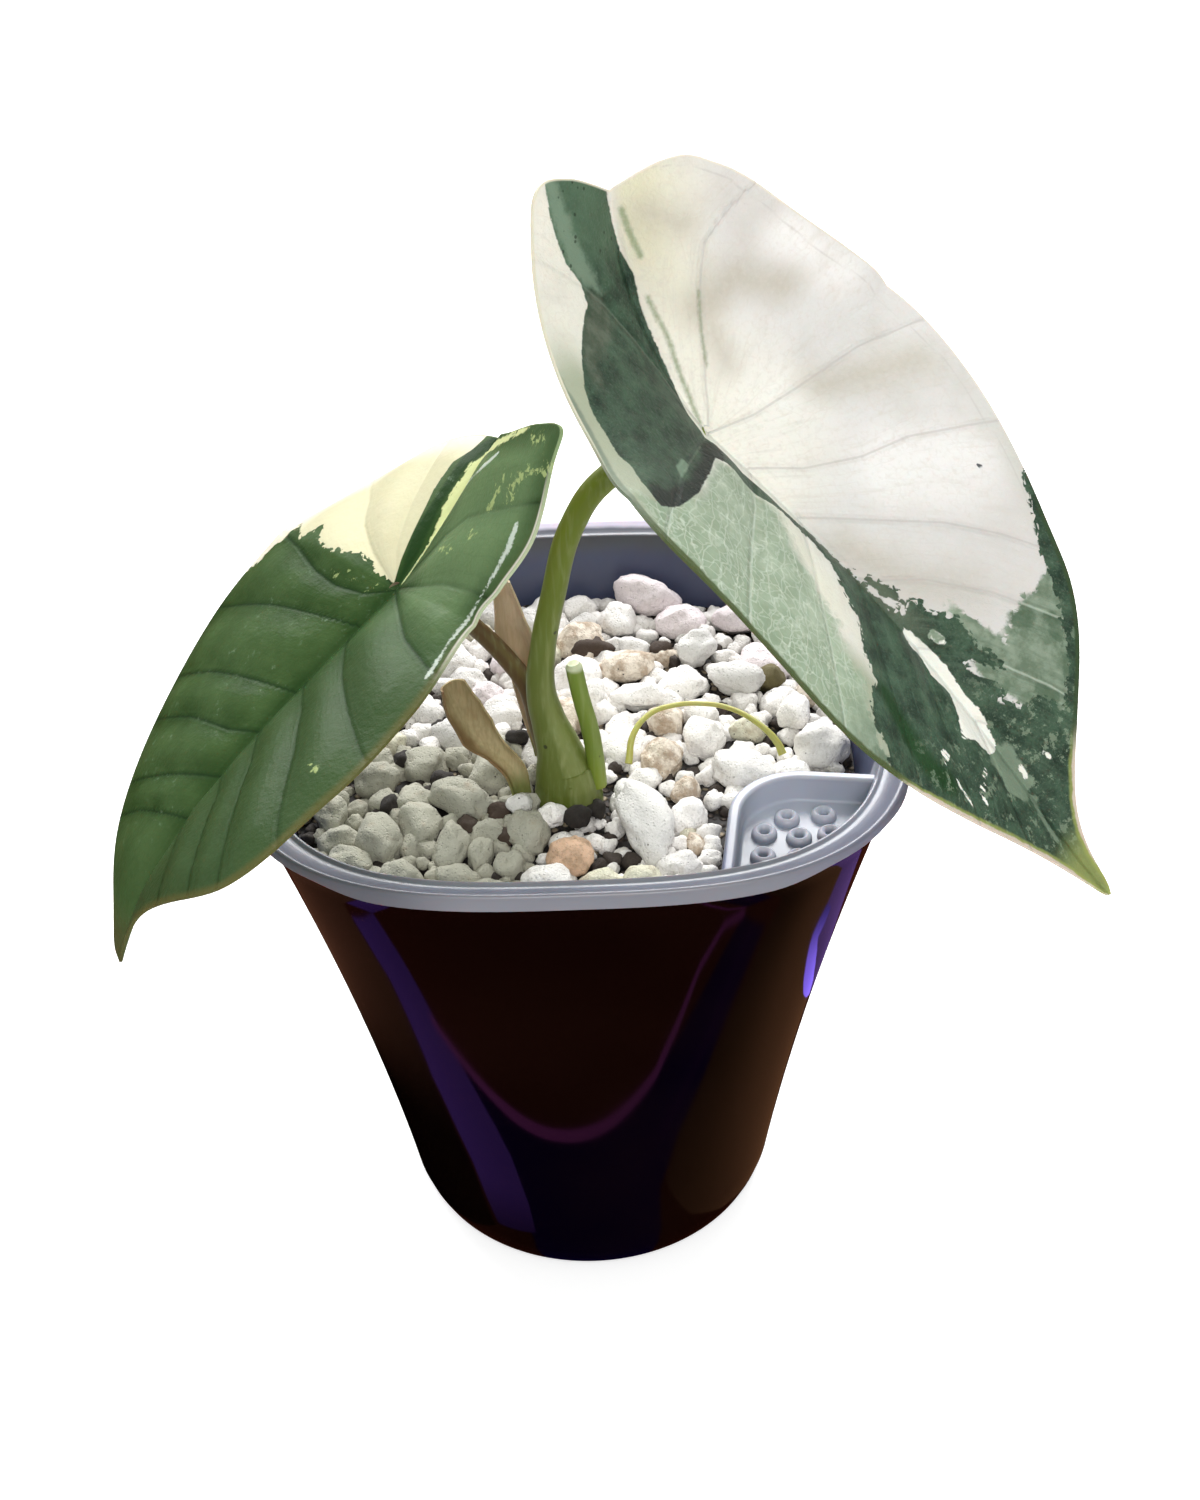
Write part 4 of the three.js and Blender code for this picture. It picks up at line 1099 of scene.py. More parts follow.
def leaf_basis(start):
    """What both leaves' colours read: leaf coordinates, the distance from the margin and the places
    across and along the blade in mm, wrinkles, the distance from the nearest side vein and jagged
    noise in mm, the net of the finest veins from 0 to 1, and streaks that run along the veins."""
    unfold = {
        "Vector": start.add("ShaderNodeUVMap", {"uv_map": "flat_leaf"}),
        "Location": (-LEAF_MAP / 2, -LEAF_MAP / 2, 0), "Scale": (LEAF_MAP, LEAF_MAP, LEAF_MAP),
    }
    flat = start.add("ShaderNodeMapping", {}, unfold)
    margin, across, onward, phase, width = [
        start.attribute(key) for key in ("margin", "flat_v", "flat_u", "phase", "vein_width")]
    random_cell = start.add("ShaderNodeSeparateColor", {}, {"Color": start.cells(flat, 0.8, out=1)}, 0)
    jag = 1.1 * (random_cell - 0.5) + 1.7 * (start.noise(flat, 1.5, 4, 0.6) - 0.5)
    ribs = off_whole(phase * 5 + 1.5 * (start.noise(flat, 6, 2) - 0.5)) * width * 0.2
    wave = {0: start.noise(flat, 1.8, 2, out=1), "Scale": 1.6}
    wavy = start.add("ShaderNodeVectorMath", {"operation": "SCALE"}, wave)
    wavy = start.add("ShaderNodeVectorMath", {"operation": "ADD"}, {0: flat, 1: wavy})
    mesh = start.cells(wavy, 2.3, "DISTANCE_TO_EDGE").rise(0.07, 0.01)
    net = (0.9 * ribs.rise(0.17, 0.03)).most(0.7 * mesh)
    run = start.add("ShaderNodeCombineXYZ", {}, {0: phase * 10, 1: across * 0.15, 2: 0.0})
    wrinkle, streaks = start.noise(flat, 0.9, 4, 0.6), start.noise(run, 1, 3, 0.6)
    return flat, margin, across, onward, wrinkle, off_whole(phase) * width, jag, net, streaks


def large_leaf_finish(name, under):
    """Cream white, jade and dark green in layers, with fine veins; the underside is duller."""
    material, start = new_finish(name)
    field = start.attribute
    flat, margin, across, onward, wrinkle, from_vein, jag, net, streaks = leaf_basis(start)
    cloud = start.noise(flat, 11, 3)
    patchy = start.noise(flat, 5, 3)
    grain = start.noise(flat, 0.35, 3)
    mottle = start.noise(flat, 2.6, 5, 0.65)
    jag = jag * (0.15 + 0.65 * onward.rise(6, 34))
    left_half = across.rise(-3, 0)
    right_half = across.rise(1, -1)
    side_vein = from_vein.rise(0.32, 0.05)
    vein = side_vein.most(0.7 * abs(field("collective") - 2).rise(0.3, 0.05))

    # Painted shade: soft tan patches beside the veins on the cream half, where the quilted blade shades
    # itself.
    painted_shade = (field("shade") + 3 * (cloud - 0.5) + 2.5 * (wrinkle - 0.5)).rise(-2.5, 5)
    beside_notch = onward.rise(-20, -32) * across.rise(0, 2) * across.rise(9, 4)
    # Painted shade: a grey-green band along the flank of the back lobe, where the blade turns away into
    # shade.
    flank_shade = across.rise(-15, -21) * onward.rise(-27, -17)
    lower_edge = margin.rise(5, 0) * left_half * onward.rise(12, 30)
    fleck = field("flecks") + 0.9 * (start.noise(flat, 0.8, 4, 0.7) - 0.5)
    cream = (cloud + 0.25 * (wrinkle - 0.5)).rise(0.4, 0.75).blend((214, 215, 211), (204, 204, 198))
    cream = coated(cream, [
        # Painted light: paler patches where light falls brightest on the cream.
        (0.8 * field("bright").rise(-4, 3), (234, 235, 231)),
        (0.7 * field("sallow").rise(-3, 7), (222, 223, 198)),
        (0.45 * across.rise(-4, -10) * onward.rise(-2, -8), (230, 230, 206)),
        # Painted light: the cream is painted paler around the petiole's joint.
        (0.65 * (onward ** 2 + across ** 2).rise(500, 60), (240, 240, 228)),
        (0.5 * beside_notch, (208, 208, 164)),
        (0.8 * painted_shade, (184, 180, 164)),
        (0.3 * wrinkle.rise(0.52, 0.3), (202, 198, 186)),
        (0.35 * streaks.rise(0.5, 0.75), (200, 197, 186)),
        (0.13 * net * patchy.rise(0.35, 0.6), (186, 174, 158)),
        # Painted shade: the cream is painted darker towards the tip.
        (0.55 * onward.rise(18, 44), (198, 197, 192)),
        (0.8 * flank_shade, (142, 153, 124)),
        (0.8 * field("holes").rise(-1.2, 0.3), (238, 240, 228)),
        (0.25 * lower_edge, (168, 174, 150)),
        (0.45 * vein * left_half, (176, 173, 168)),
        (0.75 * fleck.rise(-0.4, 0.4), (128, 144, 106)),
        (field("speck").rise(0, 0.12), (78, 82, 84)),
    ])

    blot = field("far_dark") + 2.4 * (start.noise(flat, 2, 4, 0.6) - 0.5)
    far_jade = coated(mottle.rise(0.35, 0.65).blend((100, 118, 96), (134, 150, 130)), [
        (0.5 * streaks.rise(0.45, 0.65), (92, 112, 90)),
        (0.6 * blot.rise(-0.3, 0.3), (66, 90, 66)),
    ])
    threads = start.threads(flat, 3.2, 0.04, 2) * start.noise(flat, 3, 2).rise(0.4, 0.55)
    jade = coated(patchy.rise(0.3, 0.7).blend((140, 157, 132), (166, 181, 158)), [
        (0.4 * mottle.rise(0.5, 0.72), (126, 148, 122)),
        (0.45 * streaks.rise(0.45, 0.7), (132, 150, 126)),
        (0.5 * across.rise(-20, -31) * onward.rise(46, 30), (126, 145, 118)),
        (onward.rise(36, 48), far_jade),
        ((0.4 * net + 0.35 * threads) * onward.rise(44, 34), (206, 216, 200)),
        (0.45 * vein, (190, 202, 186)),
    ])
    jade_edge = field("jade") + 1.0 * jag + 5 * (start.noise(flat, 5, 4, 0.6) - 0.5)
    body = (jade_edge / (1.5 - onward.rise(34, 46))).rise(-1, 1).blend(cream, jade)

    pale_zone = field("mottle") + 3 * (start.noise(flat, 1.6, 4, 0.65) - 0.5)
    pits = start.cells(flat, 1.7).rise(0.18, 0.12) * onward.rise(-10, -20)
    # Painted sheen: a greyish veil over part of the dark green, where the glossy blade mirrors the light.
    sheen_shown = (field("grey") + 2 * (mottle - 0.5)).rise(-0.9, 1.2)
    grey = (0.5 * mottle + 0.5 * streaks).rise(0.4, 0.62).blend((62, 76, 58), (98, 108, 92))
    beside_rib = abs(across - 0.04 * onward * onward.rise(10, 30)).rise(3.4, 0.4)
    ringed = (field("ring") + 1.6 * (mottle - 0.5)).rise(-0.5, 0.7)
    low_jade = field("low_jade") + 3 * (mottle - 0.5)
    flecking = start.noise(flat, 2.2, 5, 0.75).rise(0.55, 0.59) * onward.rise(44, 62)
    green = coated(start.noise(flat, 4.5, 5, 0.65).rise(0.3, 0.68).blend((28, 47, 34), (66, 91, 70)), [
        (0.5 * start.noise(flat, 0.8, 3).rise(0.5, 0.75), (28, 46, 34)),
        (0.35 * streaks.rise(0.5, 0.72), (88, 110, 90)),
        (0.3 * grain.rise(0.5, 0.8), (122, 140, 122)),
        (0.55 * onward.rise(-24, -34), (88, 116, 90)),
        (0.75 * pale_zone.rise(-0.6, 1.0), (122, 144, 122)),
        (0.7 * pits, (24, 38, 26)),
        (0.9 * sheen_shown, grey),
        (0.6 * (beside_rib * onward.rise(8, 22) * onward.rise(48, 34)), (104, 114, 94)),
        (0.45 * side_vein * right_half * onward.rise(10, -2), (104, 116, 100)),
        (0.95 * ringed, (20, 30, 25)),
        (0.3 * ringed * wrinkle.rise(0.6, 0.7), (130, 142, 128)),
        ((field("spot") + 0.8 * (mottle - 0.5)).rise(-0.5, 0), (118, 142, 120)),
        # Painted shade: a wedge of deep, saturated green where the folded blade lies in shadow.
        (0.85 * field("wedge").rise(-1.8, 1.0), (18, 58, 16)),
        (0.85 * low_jade.rise(-0.3, 0.3), (122, 140, 118)),
        (0.7 * flecking, (124, 142, 118)),
    ])
    shown_dark = (field("dark") + jag).rise(-0.12, 0.14) * (field("holes") + 0.3 * jag).rise(0.1, -0.1)

    # Partly painted shade: a darker band along the right margin, partly the blade's own edge colour and
    # partly its shaded underside showing past the edge.
    hem = margin - 1.0 * onward.rise(-22, -12) * onward.rise(17, 6) - 0.6 * onward.rise(4, 14)
    hem = (hem + 0.8 * (mottle - 0.5)).rise(0.35, -0.25)
    hem = hem * right_half * onward.rise(-28, -20) * onward.rise(56, 50)
    tip_side = right_half.most(onward.rise(66, 72)) * onward.rise(50, 56)
    tip_hem = margin - 0.6 * onward.rise(50, 62) * onward.rise(90, 80) + 0.8 * (mottle - 0.5)
    edge = margin.rise(0.4, 0.1)
    green_edge = margin.rise(1.0, 0.5) * onward.rise(34, 42) * onward.rise(72, 64)
    body = coated(body, [
        (shown_dark, green),
        (0.85 * onward.rise(78, 85), (140, 150, 86)),
        (hem, onward.rise(-2, 8).blend((122, 134, 116), (74, 88, 50))),
        (0.7 * tip_hem.rise(0.7, 0.2) * tip_side, (150, 160, 84)),
        (tip_hem.rise(0.1, -0.2) * tip_side, (196, 184, 168)),
        (edge * onward.rise(-2, -14), (214, 212, 190)),
        (edge * left_half * onward.rise(30, 20), (222, 218, 204)),
        (green_edge * left_half, (52, 72, 44)),
    ])
    relief = 0.6 * wrinkle + 0.2 * grain + 0.8 * from_vein.rise(0.0, 0.9) + 0.8 * abs(across).rise(0.1, 1.2)
    relief = relief + 0.4 * start.noise(flat, 2.2, 2) + 0.06 * net + 0.5 * streaks
    if under:
        body = (0.45 * shown_dark).blend(body, (126, 144, 112))
        relief = relief * -1
    surface(start, {
        "Base Color": body,
        "Roughness": 0.42 + 0.16 * wrinkle - 0.06 * shown_dark,
        "Specular IOR Level": 0.3,
        "Subsurface Weight": 0.1,
        "Subsurface Scale": 1.2 * MM,
        "Normal": relief.bump(0.26),
    })
    return material


large_leaf = leaf_blade("large_leaf_blade", LARGE_LEAF, 62, 19)
large_leaf.data.materials[0] = large_leaf_finish("large_leaf_upper_face", False)
large_leaf.data.materials[1] = large_leaf_finish("large_leaf_under_face", True)
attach(large_leaf, "root")
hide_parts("large_leaf")


# Small leaf: the same kind of blade, lower down. It is glossy green and more strongly quilted, with
# one cream patch beside the notch, a cream streak and yellowish flecks.
SMALL_LEAF = {
    "joint": (-22.3, -36.2, 144.8), "heading": -137, "rise": -35.5, "roll": 13.3,
    "front": 63.4, "back": 25.2, "half_width": 30, "arch_front": -11.2, "arch_back": -2.3,
    "twist_front": 19.1, "twist_back": 21.6, "fold_left": 16.4, "fold_right": 16.5,
    "camber": 0.25, "hook": -14.7, "sway": -5.2, "droop": 14.3,
    "left": [(63.4, 0), (61.8, 2.6), (57.3, 6.8), (46.7, 28.6), (29.5, 31.3), (14, 28.3), (0.8, 22.8),
             (-5, 25), (-12.1, 28.9), (-20.5, 29.8), (-24.8, 30.6), (-25, 25), (-24, 14), (-24.6, 5),
             (-25.2, 0)],
    "right": [(63.4, 0), (61.8, 2.6), (57.3, 6.9), (46.7, 18.5), (29.5, 29.2), (14, 34.4), (-0.7, 30.8),
              (-12.1, 28.2), (-19.5, 23.2), (-23, 15.5), (-24.6, 7.5), (-25.2, 0)],
    "left_veins": [
        [(0, 0), (-4, 2.6), (-9, 6.5), (-12, 11.5), (-14, 20), (-16, 28), (-18, 40)],
        [(0, 0), (-1.5, 8), (-2.8, 13), (-3.5, 20), (-3.5, 40)],
        [(0, 0), (3, 8), (6, 15), (8, 23.5), (10, 40)],
        [(9, 0), (14, 10), (17.5, 18), (21.5, 27.5), (26, 40)],
        [(17, 0), (21, 10), (26.5, 18.5), (35, 28), (44, 40)],
        [(25.5, 0), (30.5, 10.5), (36, 17), (41.5, 23), (52, 34)],
        [(33, 0), (36.5, 9), (42.5, 16), (50, 24)],
        [(42, 0), (46, 8), (53, 16)],
    ],
    "right_veins": [
        [(0, 0), (-5, -4.5), (-11, -8), (-17, -11), (-26, -16)],
        [(0, 0), (-3, -8), (-6, -14), (-10, -19), (-15, -30)],
        [(0, 0), (2.5, -3.5), (3.5, -9), (3, -15), (1, -23), (-1, -38)],
        [(6.5, 0), (8, -7), (10, -18), (13, -30), (15, -42)],
        [(19, 0), (20.5, -8.5), (22.5, -19), (26, -32)],
        [(26, 0), (28, -5), (29.3, -15), (32.5, -28)],
        [(34, 0), (37, -8), (39.5, -14.5), (43, -24)],
        [(41, 0), (44, -12.5), (47, -20)],
    ],
    "swell": 0.7,
    "patches": {
        "cream": [
            area((-0.7, -1), (-4, -2.4), (-8, -3.6), (-12, -4.6), (-15.5, -5.6), (-19.4, -5.8),
                (-22.2, -4.2), (-27, -3), (-27, -20), (-19, -34), (-4.5, -36), (9, -38), (7.2, -33.6),
                (5.7, -30.2), (4.1, -29.9), (2.8, -29.7), (0.2, -28.1), (-2.4, -28.2), (-0.2, -24.1),
                (-1.3, -22.8), (-2.1, -22.3), (-3.3, -21.7), (-0.9, -18.9), (-0.2, -14.9), (-0.9, -13.6),
                (-0.9, -11.3), (-2, -10), (-1.6, -7.1), (-0.6, -3.4)),
        ],
        "streak": [
            area((-1, 0.6), (-5.5, 0.4), (-10.5, -0.8), (-13, -1.8), (-16.4, -2.1), (-20, -2.4),
                (-22.8, -0.7), (-23.4, 8), (-23.5, 12.5), (-24, 18), (-24.4, 22.1), (-23.6, 19.5),
                (-22.6, 14.7), (-21.6, 9), (-20.1, 0.6), (-16.8, 0.8), (-13.7, 0.4), (-11, 1.4),
                (-7, 1.9), (-1.5, 1.2)),
        ],
        "flecks": [
            line(0.7, (-13.9, 17.2), (-15.5, 18.1), (-17.4, 19.2)),
            line(0.5, (-23.1, 23.9), (-23.1, 27.8)),
            line(0.8, (-15.9, 21.9), (-18.1, 23.6), (-19.5, 26.6), (-20.1, 29.4)),
            line(0.45, (-9.6, 15.5), (-10.8, 17)),
            line(0.45, (-6.9, 9.1), (-7.5, 12.3)),
            line(0.35, (1.9, -11.6), (2.5, -7.9)),
            line(0.3, (1.1, -8.2), (2, -4.4)),
            line(0.3, (0.9, -3.1), (0.5, -1.7)),
            line(0.4, (27, 24.5), (26.5, 26)),
        ],
        "strip": [
            area((0, 0), (-6, -0.6), (-14, -2.4), (-20, -2.6), (-23, -1), (-25, 6), (-27, 0), (-22, -4.9),
                (-8, -3.5)),
        ],
        "gleam": [
            line(0.4, (-13, 25.5), (-10.3, 25.2), (-7.4, 24), (-4, 22.4), (-0.1, 21.3), (3.9, 22.4),
                (9, 24.8)),
            line(0.5, (-20.9, 13.9), (-19.5, 11.4), (-18, 8), (-16.5, 4.2)),
        ],
    },
}


def small_leaf_finish(name, under):
    """Glossy green, quilted and flecked, with the cream patch over it; the underside is duller."""
    material, start = new_finish(name)
    field = start.attribute
    flat, margin, across, onward, wrinkle, from_vein, jag, net, streaks = leaf_basis(start)
    fine = start.noise(flat, 0.4, 3)
    cloud = start.noise(flat, 7, 3)
    # Painted sheen: a paler patch over the middle of the near lobe, for light on its gloss.
    lobe_sheen = onward.rise(8, -4) * across.rise(3, 9) * margin.rise(0.5, 5)
    flecks = field("flecks") + 1.4 * jag + 5 * (start.noise(flat, 1.1, 4, 0.7) - 0.56)
    glints = start.noise(flat, 1.5, 4, 0.7).rise(0.58, 0.72) * start.noise(flat, 7, 2).rise(0.45, 0.6)
    olive = margin.rise(1.5, 0.2) * (across + 0.5 * onward).rise(18, 34)
    gleam = field("gleam") + 0.8 * (fine - 0.5) + 1.2 * (cloud - 0.5)
    near_edge = margin.rise(0.5, 0.25) * across.rise(2, 6) * onward.rise(10, 2) * onward.rise(-22, -14)
    green = (cloud + 0.3 * (wrinkle - 0.5)).rise(0.32, 0.7).blend((46, 70, 32), (62, 86, 46))
    green = coated(green, [
        (0.35 * from_vein.rise(0.6, 4.0), (76, 100, 58)),
        (0.3 * streaks.rise(0.5, 0.75), (54, 78, 42)),
        (0.25 * across.rise(-1, 5), (84, 106, 76)),
        (0.5 * abs(across).rise(3.4, 0.2) * onward.rise(52, 20), (26, 56, 20)),
        (0.5 * from_vein.rise(1.1, 0.05), (32, 58, 26)),
        (0.5 * from_vein.rise(0.3, 0.05), (20, 40, 18)),
        (0.38 * lobe_sheen, (128, 156, 110)),
        (0.55 * onward.rise(6, 12) * across.rise(1, 5), (46, 66, 34)),
        (0.1 * net, (44, 66, 36)),
        (0.9 * field("strip").rise(-0.4, 0.4), (30, 56, 24)),
        (0.8 * flecks.rise(0.0, 0.7), (164, 180, 118)),
        (0.35 * glints * across.rise(4, -4), (150, 176, 146)),
        (0.7 * olive, (92, 88, 48)),
        (onward.rise(55, 62), (74, 76, 44)),
        (0.75 * gleam.rise(0.0, 0.3), (206, 216, 204)),
        (0.9 * near_edge, (206, 202, 188)),
    ])
    cream = coated(cloud.rise(0.3, 0.7).blend((200, 197, 162), (196, 192, 160)), [
        (0.2 * from_vein.rise(0.4, 0.05), (204, 198, 166)),
        (0.8 * margin.rise(5, 0.5), (232, 224, 208)),
    ])
    patched = (field("cream") + 0.75 * jag * field("strip").rise(-0.5, -3)).rise(-0.08, 0.08)
    body = coated(green, [
        (patched, cream),
        (0.92 * (field("streak") + 0.4 * jag).rise(-0.15, 0.15), (210, 218, 158)),
        (0.7 * margin.rise(0.2, 0.05) * onward.rise(14, 0), (140, 160, 116)),
    ])
    relief = 0.45 * wrinkle + 0.16 * fine + 0.45 * from_vein.rise(0.0, 0.7)
    relief = relief + 0.9 * abs(across).rise(0.1, 1.2) + 0.6 * start.noise(flat, 2.4, 2) + 0.3 * streaks
    rough = 0.24 + 0.16 * wrinkle + 0.1 * patched
    if under:
        body = (0.5 * (1 - patched)).blend(body, (116, 138, 96))
        relief = relief * -1
        rough = rough + 0.18
    surface(start, {
        "Base Color": body,
        "Roughness": rough,
        "Specular IOR Level": 0.09,
        "Subsurface Weight": 0.06,
        "Subsurface Scale": 1.2 * MM,
        "Normal": relief.bump(0.15),
    })
    return material


small_leaf = leaf_blade("small_leaf_blade", SMALL_LEAF, 50, 14)
small_leaf.data.materials[0] = small_leaf_finish("small_leaf_upper_face", False)
small_leaf.data.materials[1] = small_leaf_finish("small_leaf_under_face", True)
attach(small_leaf, "root")
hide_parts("small_leaf")


# Dry sheaths and root: what is left of two older sheaths is thin, tan and papery, curled about its
# length. One fresh root runs out of the gravel as a thin yellow-green thread and back into it.
def along_path(path, steps):
    """Points along a smooth path, and at each two directions across it that don't spin."""
    points = through(path, 24)
    travelled = np.concatenate([[0], np.cumsum(np.linalg.norm(np.diff(points, axis=0), axis=1))])
    stops = np.linspace(0, travelled[-1], steps + 1)
    centres = np.stack([np.interp(stops, travelled, points[:, k]) for k in range(3)], 1)
    tangents = np.gradient(centres, axis=0)
    tangents /= np.linalg.norm(tangents, axis=1)[:, None]
    first = np.cross(tangents[0], np.eye(3)[np.abs(tangents[0]).argmin()])
    normals = [np.cross(tangents[0], first / np.linalg.norm(first))]
    for tangent in tangents[1:]:
        normal = normals[-1] - tangent * (normals[-1] @ tangent)
        normals.append(normal / np.linalg.norm(normal))
    return centres, np.array(normals), np.cross(tangents, np.array(normals))


def dry_sheath(name, path, widths, curl, turn, seed):
    """A strip along a path, of the given widths, curled about its length and turned round it."""
    steps, across = 60, 20
    turned_cos, turned_sin = math.cos(math.radians(turn)), math.sin(math.radians(turn))
    centres, normals, binormals = along_path(path, steps)
    bpy.ops.object.select_all(action="DESELECT")
    bpy.ops.mesh.primitive_grid_add(x_subdivisions=across, y_subdivisions=steps, size=2)
    strip = bpy.context.object
    strip.name = name
    mark(strip, "across", [vertex.co.x for vertex in strip.data.vertices])
    for vertex in strip.data.vertices:
        row = round((vertex.co.y + 1) / 2 * steps)
        share = row / steps
        half = np.interp(share, np.linspace(0, 1, len(widths)), widths) / 2
        half *= 1 + 0.16 * noise.noise(Vector((vertex.co.x * 1.5, share * 5, seed)))
        bend = math.radians(curl * (0.85 + 0.3 * share))
        radius = half / bend
        angle = bend * vertex.co.x
        side = radius * math.sin(angle)
        crinkle = noise.noise(Vector((vertex.co.x * 2, share * 7, seed + 5)))
        rise = radius * (math.cos(angle) - 1) + 0.35 * crinkle
        a = side * turned_cos - rise * turned_sin
        b = side * turned_sin + rise * turned_cos
        vertex.co = (centres[row] - a * normals[row] + b * binormals[row]) * MM
    use_modifier(strip, "SOLIDIFY", thickness=0.3 * MM, offset=0)
    smooth(strip, 60)
    return strip


def papery_finish(name, low, high, darker_edge):
    """Dry, fibrous tan between two tones, darker brown along one edge and greenish at its foot."""
    material, start = new_finish(name)
    spot = start.place()
    fibres = start.noise(start.place((1, 1, 0.12)), 0.5, 4, 0.6)
    blotch = start.noise(spot, 3.5, 3)
    height = start.add("ShaderNodeSeparateXYZ", {}, {"Vector": spot}, 2)
    side = start.attribute("across") + 0.9 * (blotch - 0.5)
    tan = coated(fibres.rise(0.3, 0.7).blend(low, high), [
        (darker_edge * side.rise(0.1, 0.8), (126, 98, 62)),
        (0.15 * side.rise(-0.6, -0.95), (150, 116, 74)),
        (height.rise(100, 95), (112, 118, 62)),
    ])
    surface(start, {
        "Base Color": tan,
        "Roughness": 0.55 + 0.25 * fibres,
        "Subsurface Weight": 0.1,
        "Subsurface Scale": 1 * MM,
        "Normal": fibres.bump(0.12),
    })
    return material


left_sheath = dry_sheath(
    "left_dry_sheath",
    [(-8.6, -15.6, 94.2), (-9.6, -15.2, 98.6), (-12.3, -14.6, 102), (-15.2, -13.8, 105.5),
     (-17.3, -13.2, 109.5), (-18.6, -12.8, 113.8)],
    [4, 4.4, 5.4, 8, 8.6, 6], 80, 240, 3)
left_paper = papery_finish("left_sheath_paper", (164, 150, 108), (184, 170, 128), 0.9)
back_sheath = dry_sheath(
    "back_dry_sheath",
    [(-4, -5.6, 94.6), (-5.2, -4.4, 103), (-6.6, -4, 112), (-8.4, -4.4, 120), (-9.6, -5, 127)],
    [5, 6.2, 7.2, 6.8, 3], 55, 200, 8)
back_paper = papery_finish("back_sheath_paper", (186, 170, 140), (200, 184, 156), 0.2)
for piece, node, paper in (
    (left_sheath, "left_sheath", left_paper),
    (back_sheath, "back_sheath", back_paper),
):
    piece.data.materials.append(paper)
    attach(piece, "root")
    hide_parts(node)

root = stalk(
    "root_thread",
    [(8.6, -9.4, 94.8), (9.6, -6, 98.2), (12.3, -3.3, 100), (16, -1.6, 100.3), (20.6, -1.2, 100.2),
     (25, -1.8, 99.6), (29.4, -4.6, 98.4), (32.4, -7, 96.2), (33.2, -8, 94.6)],
    [0.6, 0.5, 0.45, 0.42, 0.4, 0.42, 0.45, 0.6, 0.7])
root.data.materials.append(stalk_finish("root_skin", (170, 170, 84), (176, 178, 96), (176, 178, 96), 0))
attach(root, "root")
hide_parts("root")


# Studio: a plain pale floor, soft light from all round and above, and a window at the left. Dark and
# violet cards lie at floor level, where only the glossy pot mirrors them.
CARD_Z = -0.6
CARDS = [
    ("violet_card_left", 0.3, (0.1, 0.04, 0.27), "radius", 35, 46, 0.3, [
        (-87, -26), (-72, -30), (-63, -28.5), (-53, -26.5), (-43, -28.5), (-35, -30), (-22, -30),
        (-14, -35.5), (-18, -39), (-26, -43.5), (-32, -45), (-44, -46), (-56, -47), (-68, -50),
        (-79, -50)]),
    ("pink_line", 0.35, (0.26, 0.05, 0.22), "radius", 40, 60, 0.8, [
        (-57, -46), (-44, -49.5), (-31, -52.5), (-20, -55), (-10, -57), (2, -59), (12, -60.5),
        (24, -62.5), (32, -67), (41, -74), (51, -77), (60, -72), (60, -69), (51, -74.5), (41, -71.5),
        (33, -64.5), (24, -60), (12, -58), (2, -56.5), (-10, -54.5), (-20, -52.5), (-31, -50), (-44, -47),
        (-57, -44)]),
    ("blue_line", 0.2, (0.015, 0.003, 0.045), "radius", 48, 70, 0.9, [
        (24, -49.5), (36, -51.5), (46, -54), (56, -60), (64, -62), (66, -58), (57, -55), (47, -50),
        (35, -48.5), (24, -47)]),
    ("navy_card", 0.1, (0.003, 0.0006, 0.03), "radius", 20, 40, 0.8, [
        (-57, -46), (-31, -52), (-10, -57), (12, -60), (24, -61), (60, -70), (70, -52), (42, -45),
        (30, -44), (20, -40), (16, -34), (0, -20), (-14, -34), (-24, -42), (-44, -46)]),
    ("violet_glint", 0.4, (0.5, 0.3, 1.85), "radius", 88, 72, 0.2, [
        (86, 12), (83, 7), (80, 5), (77, 6), (73, 9), (67, 14), (62, 19), (56, 27), (53, 32), (58, 32),
        (66, 27), (72, 22), (77, 16), (80, 20), (83, 22)]),
    ("purple_card", 0.3, (0.16, 0.08, 0.3), "radius", 70, 90, 0.7, [
        (86, 12), (83, 22), (80, 20), (77, 16), (72, 22), (66, 27), (58, 32), (50, 34), (50, 50),
        (95, 50), (110, 20)]),
    ("brown_card_right", 0.0, (0.13, 0.058, 0.028), "y", -50, -8, 0.3, [
        (22, -40), (30, -44), (42, -45), (56, -47), (74, -50), (400, -60), (400, 40), (60, 40), (34, 0),
        (23, -30)]),
    ("brown_card_left", 0.0, (0.095, 0.038, 0.022), "radius", 46, 86, 0.02, [
        (-22, -29), (-35, -29), (-43, -27.5), (-53, -25.5), (-63, -27.5), (-72, -29), (-87, -25),
        (-400, -60), (-400, 60), (-30, 60), (-34, 0)]),
]


def glow(name, colour, reading, low, high, least):
    """Light that grows from its least share to full with the distance from the plant, or along y."""
    material, start = new_finish(name)
    x, y, _ = start.axes(start.place())
    value = y if reading == "y" else (x * x + y * y) ** 0.5
    strength = least + (1 - least) * value.rise(low, high)
    shader = start.add("ShaderNodeEmission", {}, {"Color": (*colour, 1), "Strength": strength})
    start.add("ShaderNodeOutputMaterial", {}, {"Surface": shader})
    return material


def only_mirrored(card):
    for ray in ("camera", "diffuse", "transmission", "volume_scatter", "shadow"):
        setattr(card, f"visible_{ray}", False)


for name, lift, colour, reading, low, high, least, outline in CARDS:
    mesh = bpy.data.meshes.new(name)
    corners = [(x * MM, y * MM, (CARD_Z + lift) * MM) for x, y in outline]
    mesh.from_pydata(corners, [], [range(len(outline))])
    card = bpy.data.objects.new(name, mesh)
    bpy.context.scene.collection.objects.link(card)
    mesh.materials.append(glow(name, colour, reading, low, high, least))
    only_mirrored(card)

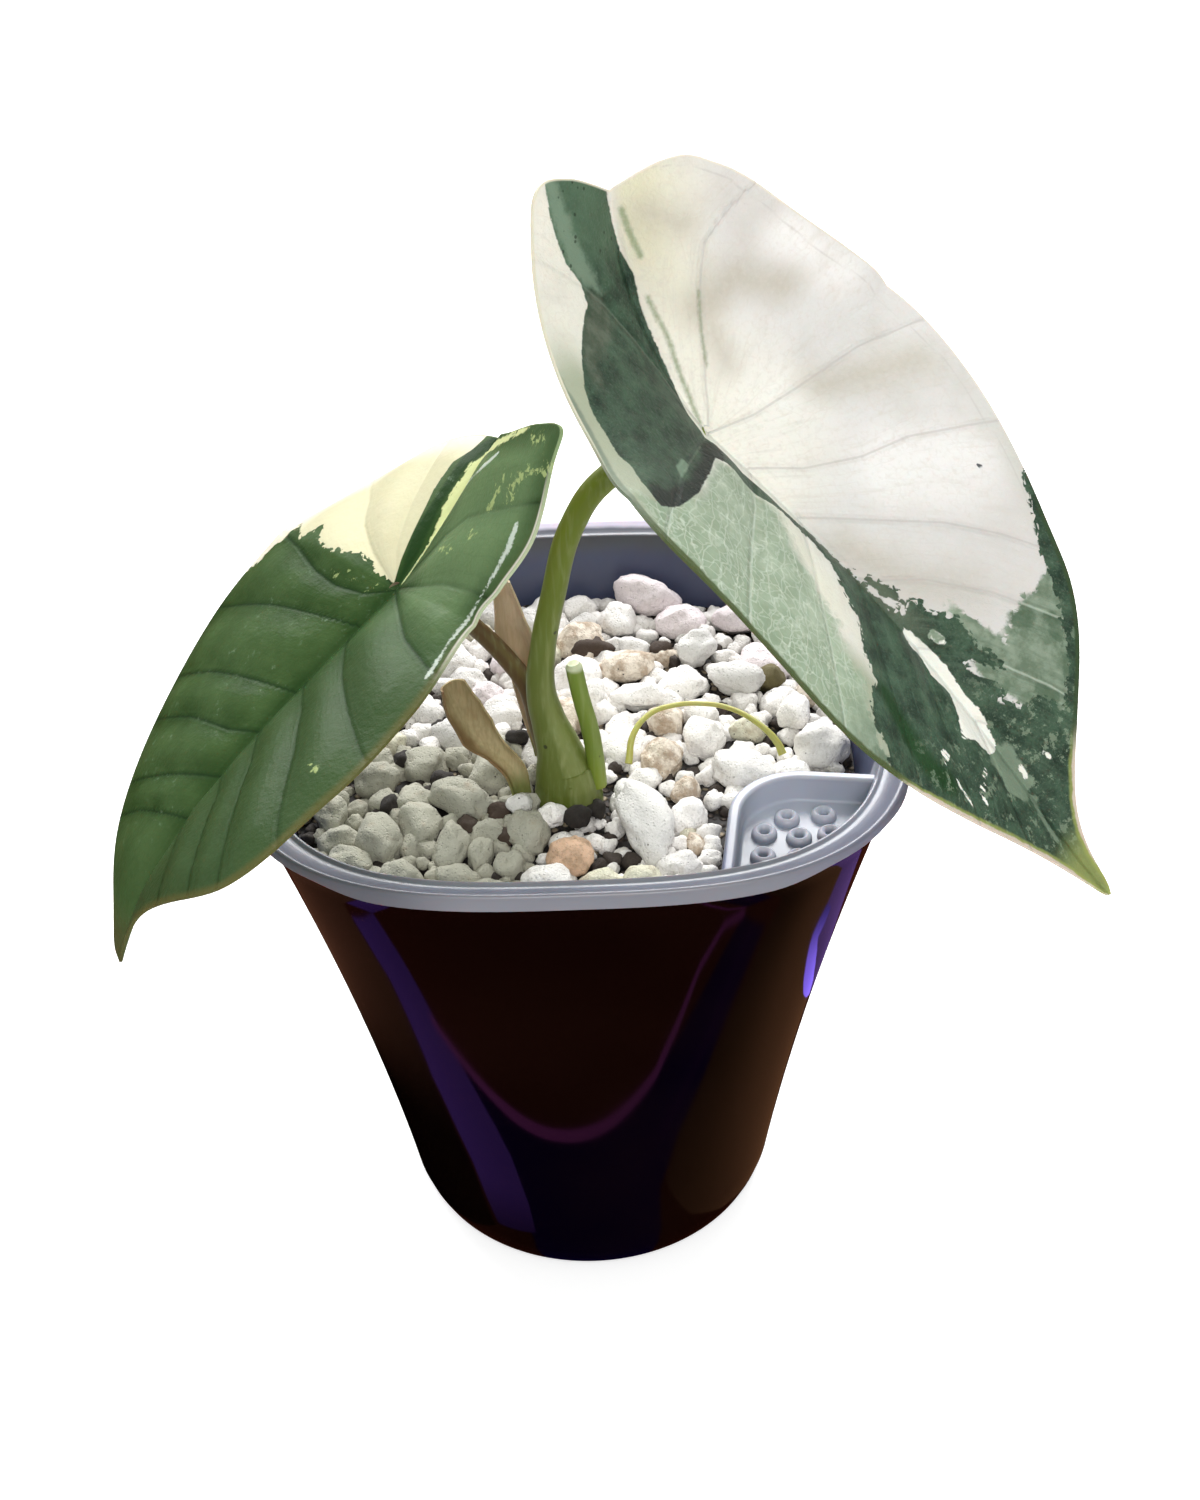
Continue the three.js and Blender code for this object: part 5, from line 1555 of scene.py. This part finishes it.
bpy.ops.object.select_all(action="DESELECT")
bpy.ops.mesh.primitive_plane_add(size=8, location=(0, 0, CARD_Z * 1.5 * MM))
dark_card = bpy.context.object
dark_card.name = "dark_card"
dark_card.data.materials.append(glow("dark_card", (0.055, 0.012, 0.006), "radius", 26, 90, 0.5))
only_mirrored(dark_card)

bpy.ops.mesh.primitive_plane_add(size=8, location=(0, 0, 0))
floor = bpy.context.object
floor.name = "floor"
floor_look, start = new_finish("pale_floor")
surface(start, {
    "Base Color": start.noise(start.place(), 160, 2).blend((243, 243, 243), (247, 247, 247)),
    "Roughness": 0.9,
    "Specular IOR Level": 0.0,
    "Emission Color": (1, 1, 1, 1),
    "Emission Strength": 0.46,
})
floor.data.materials.append(floor_look)
floor.visible_glossy = False


def softbox(name, direction, distance, size, watts):
    """A square light that faces the plant from a direction."""
    aim = Vector((0, -0.01, 0.12))
    way = Vector(direction).normalized()
    bpy.ops.object.light_add(type="AREA", location=aim + way * distance)
    lamp = bpy.context.object
    lamp.name = name
    lamp.rotation_euler = way.to_track_quat("Z", "Y").to_euler()
    lamp.data.size = size
    lamp.data.energy = watts


softbox("overhead", (0.1, 0.3, 1), 1.1, 0.9, 4)
softbox("window", (-0.55, 0.85, 0.62), 1.0, 0.5, 3.5)
softbox("back_fill", (0.15, 1, 0.8), 1.1, 0.6, 15)
softbox("front_key", (0.05, -0.88, 0.76), 1.4, 0.6, 11.5)

world = bpy.data.worlds.new("room")
bpy.context.scene.world = world
world.use_nodes = True
world.node_tree.nodes["Background"].inputs["Color"].default_value = (1, 1, 1, 1)
world.node_tree.nodes["Background"].inputs["Strength"].default_value = 0.38

# Camera: it looks down on the plant from the front, and is tilted a little.
EYE = (5.65, -277.79, 292.65)
turn = Matrix.Rotation(math.radians(0.32), 4, "Z")
tilt = Matrix.Rotation(math.radians(90 - 36), 4, "X")
roll = Matrix.Rotation(math.radians(-2.13), 4, "Z")
bpy.ops.object.camera_add()
camera = bpy.context.object
camera.matrix_world = Matrix.Translation([c * MM for c in EYE]) @ turn @ tilt @ roll
camera.data.lens = 50.4
camera.data.sensor_width = 36
camera.data.clip_start = 0.01
bpy.context.scene.camera = camera
bpy.context.scene.view_settings.view_transform = "Standard"
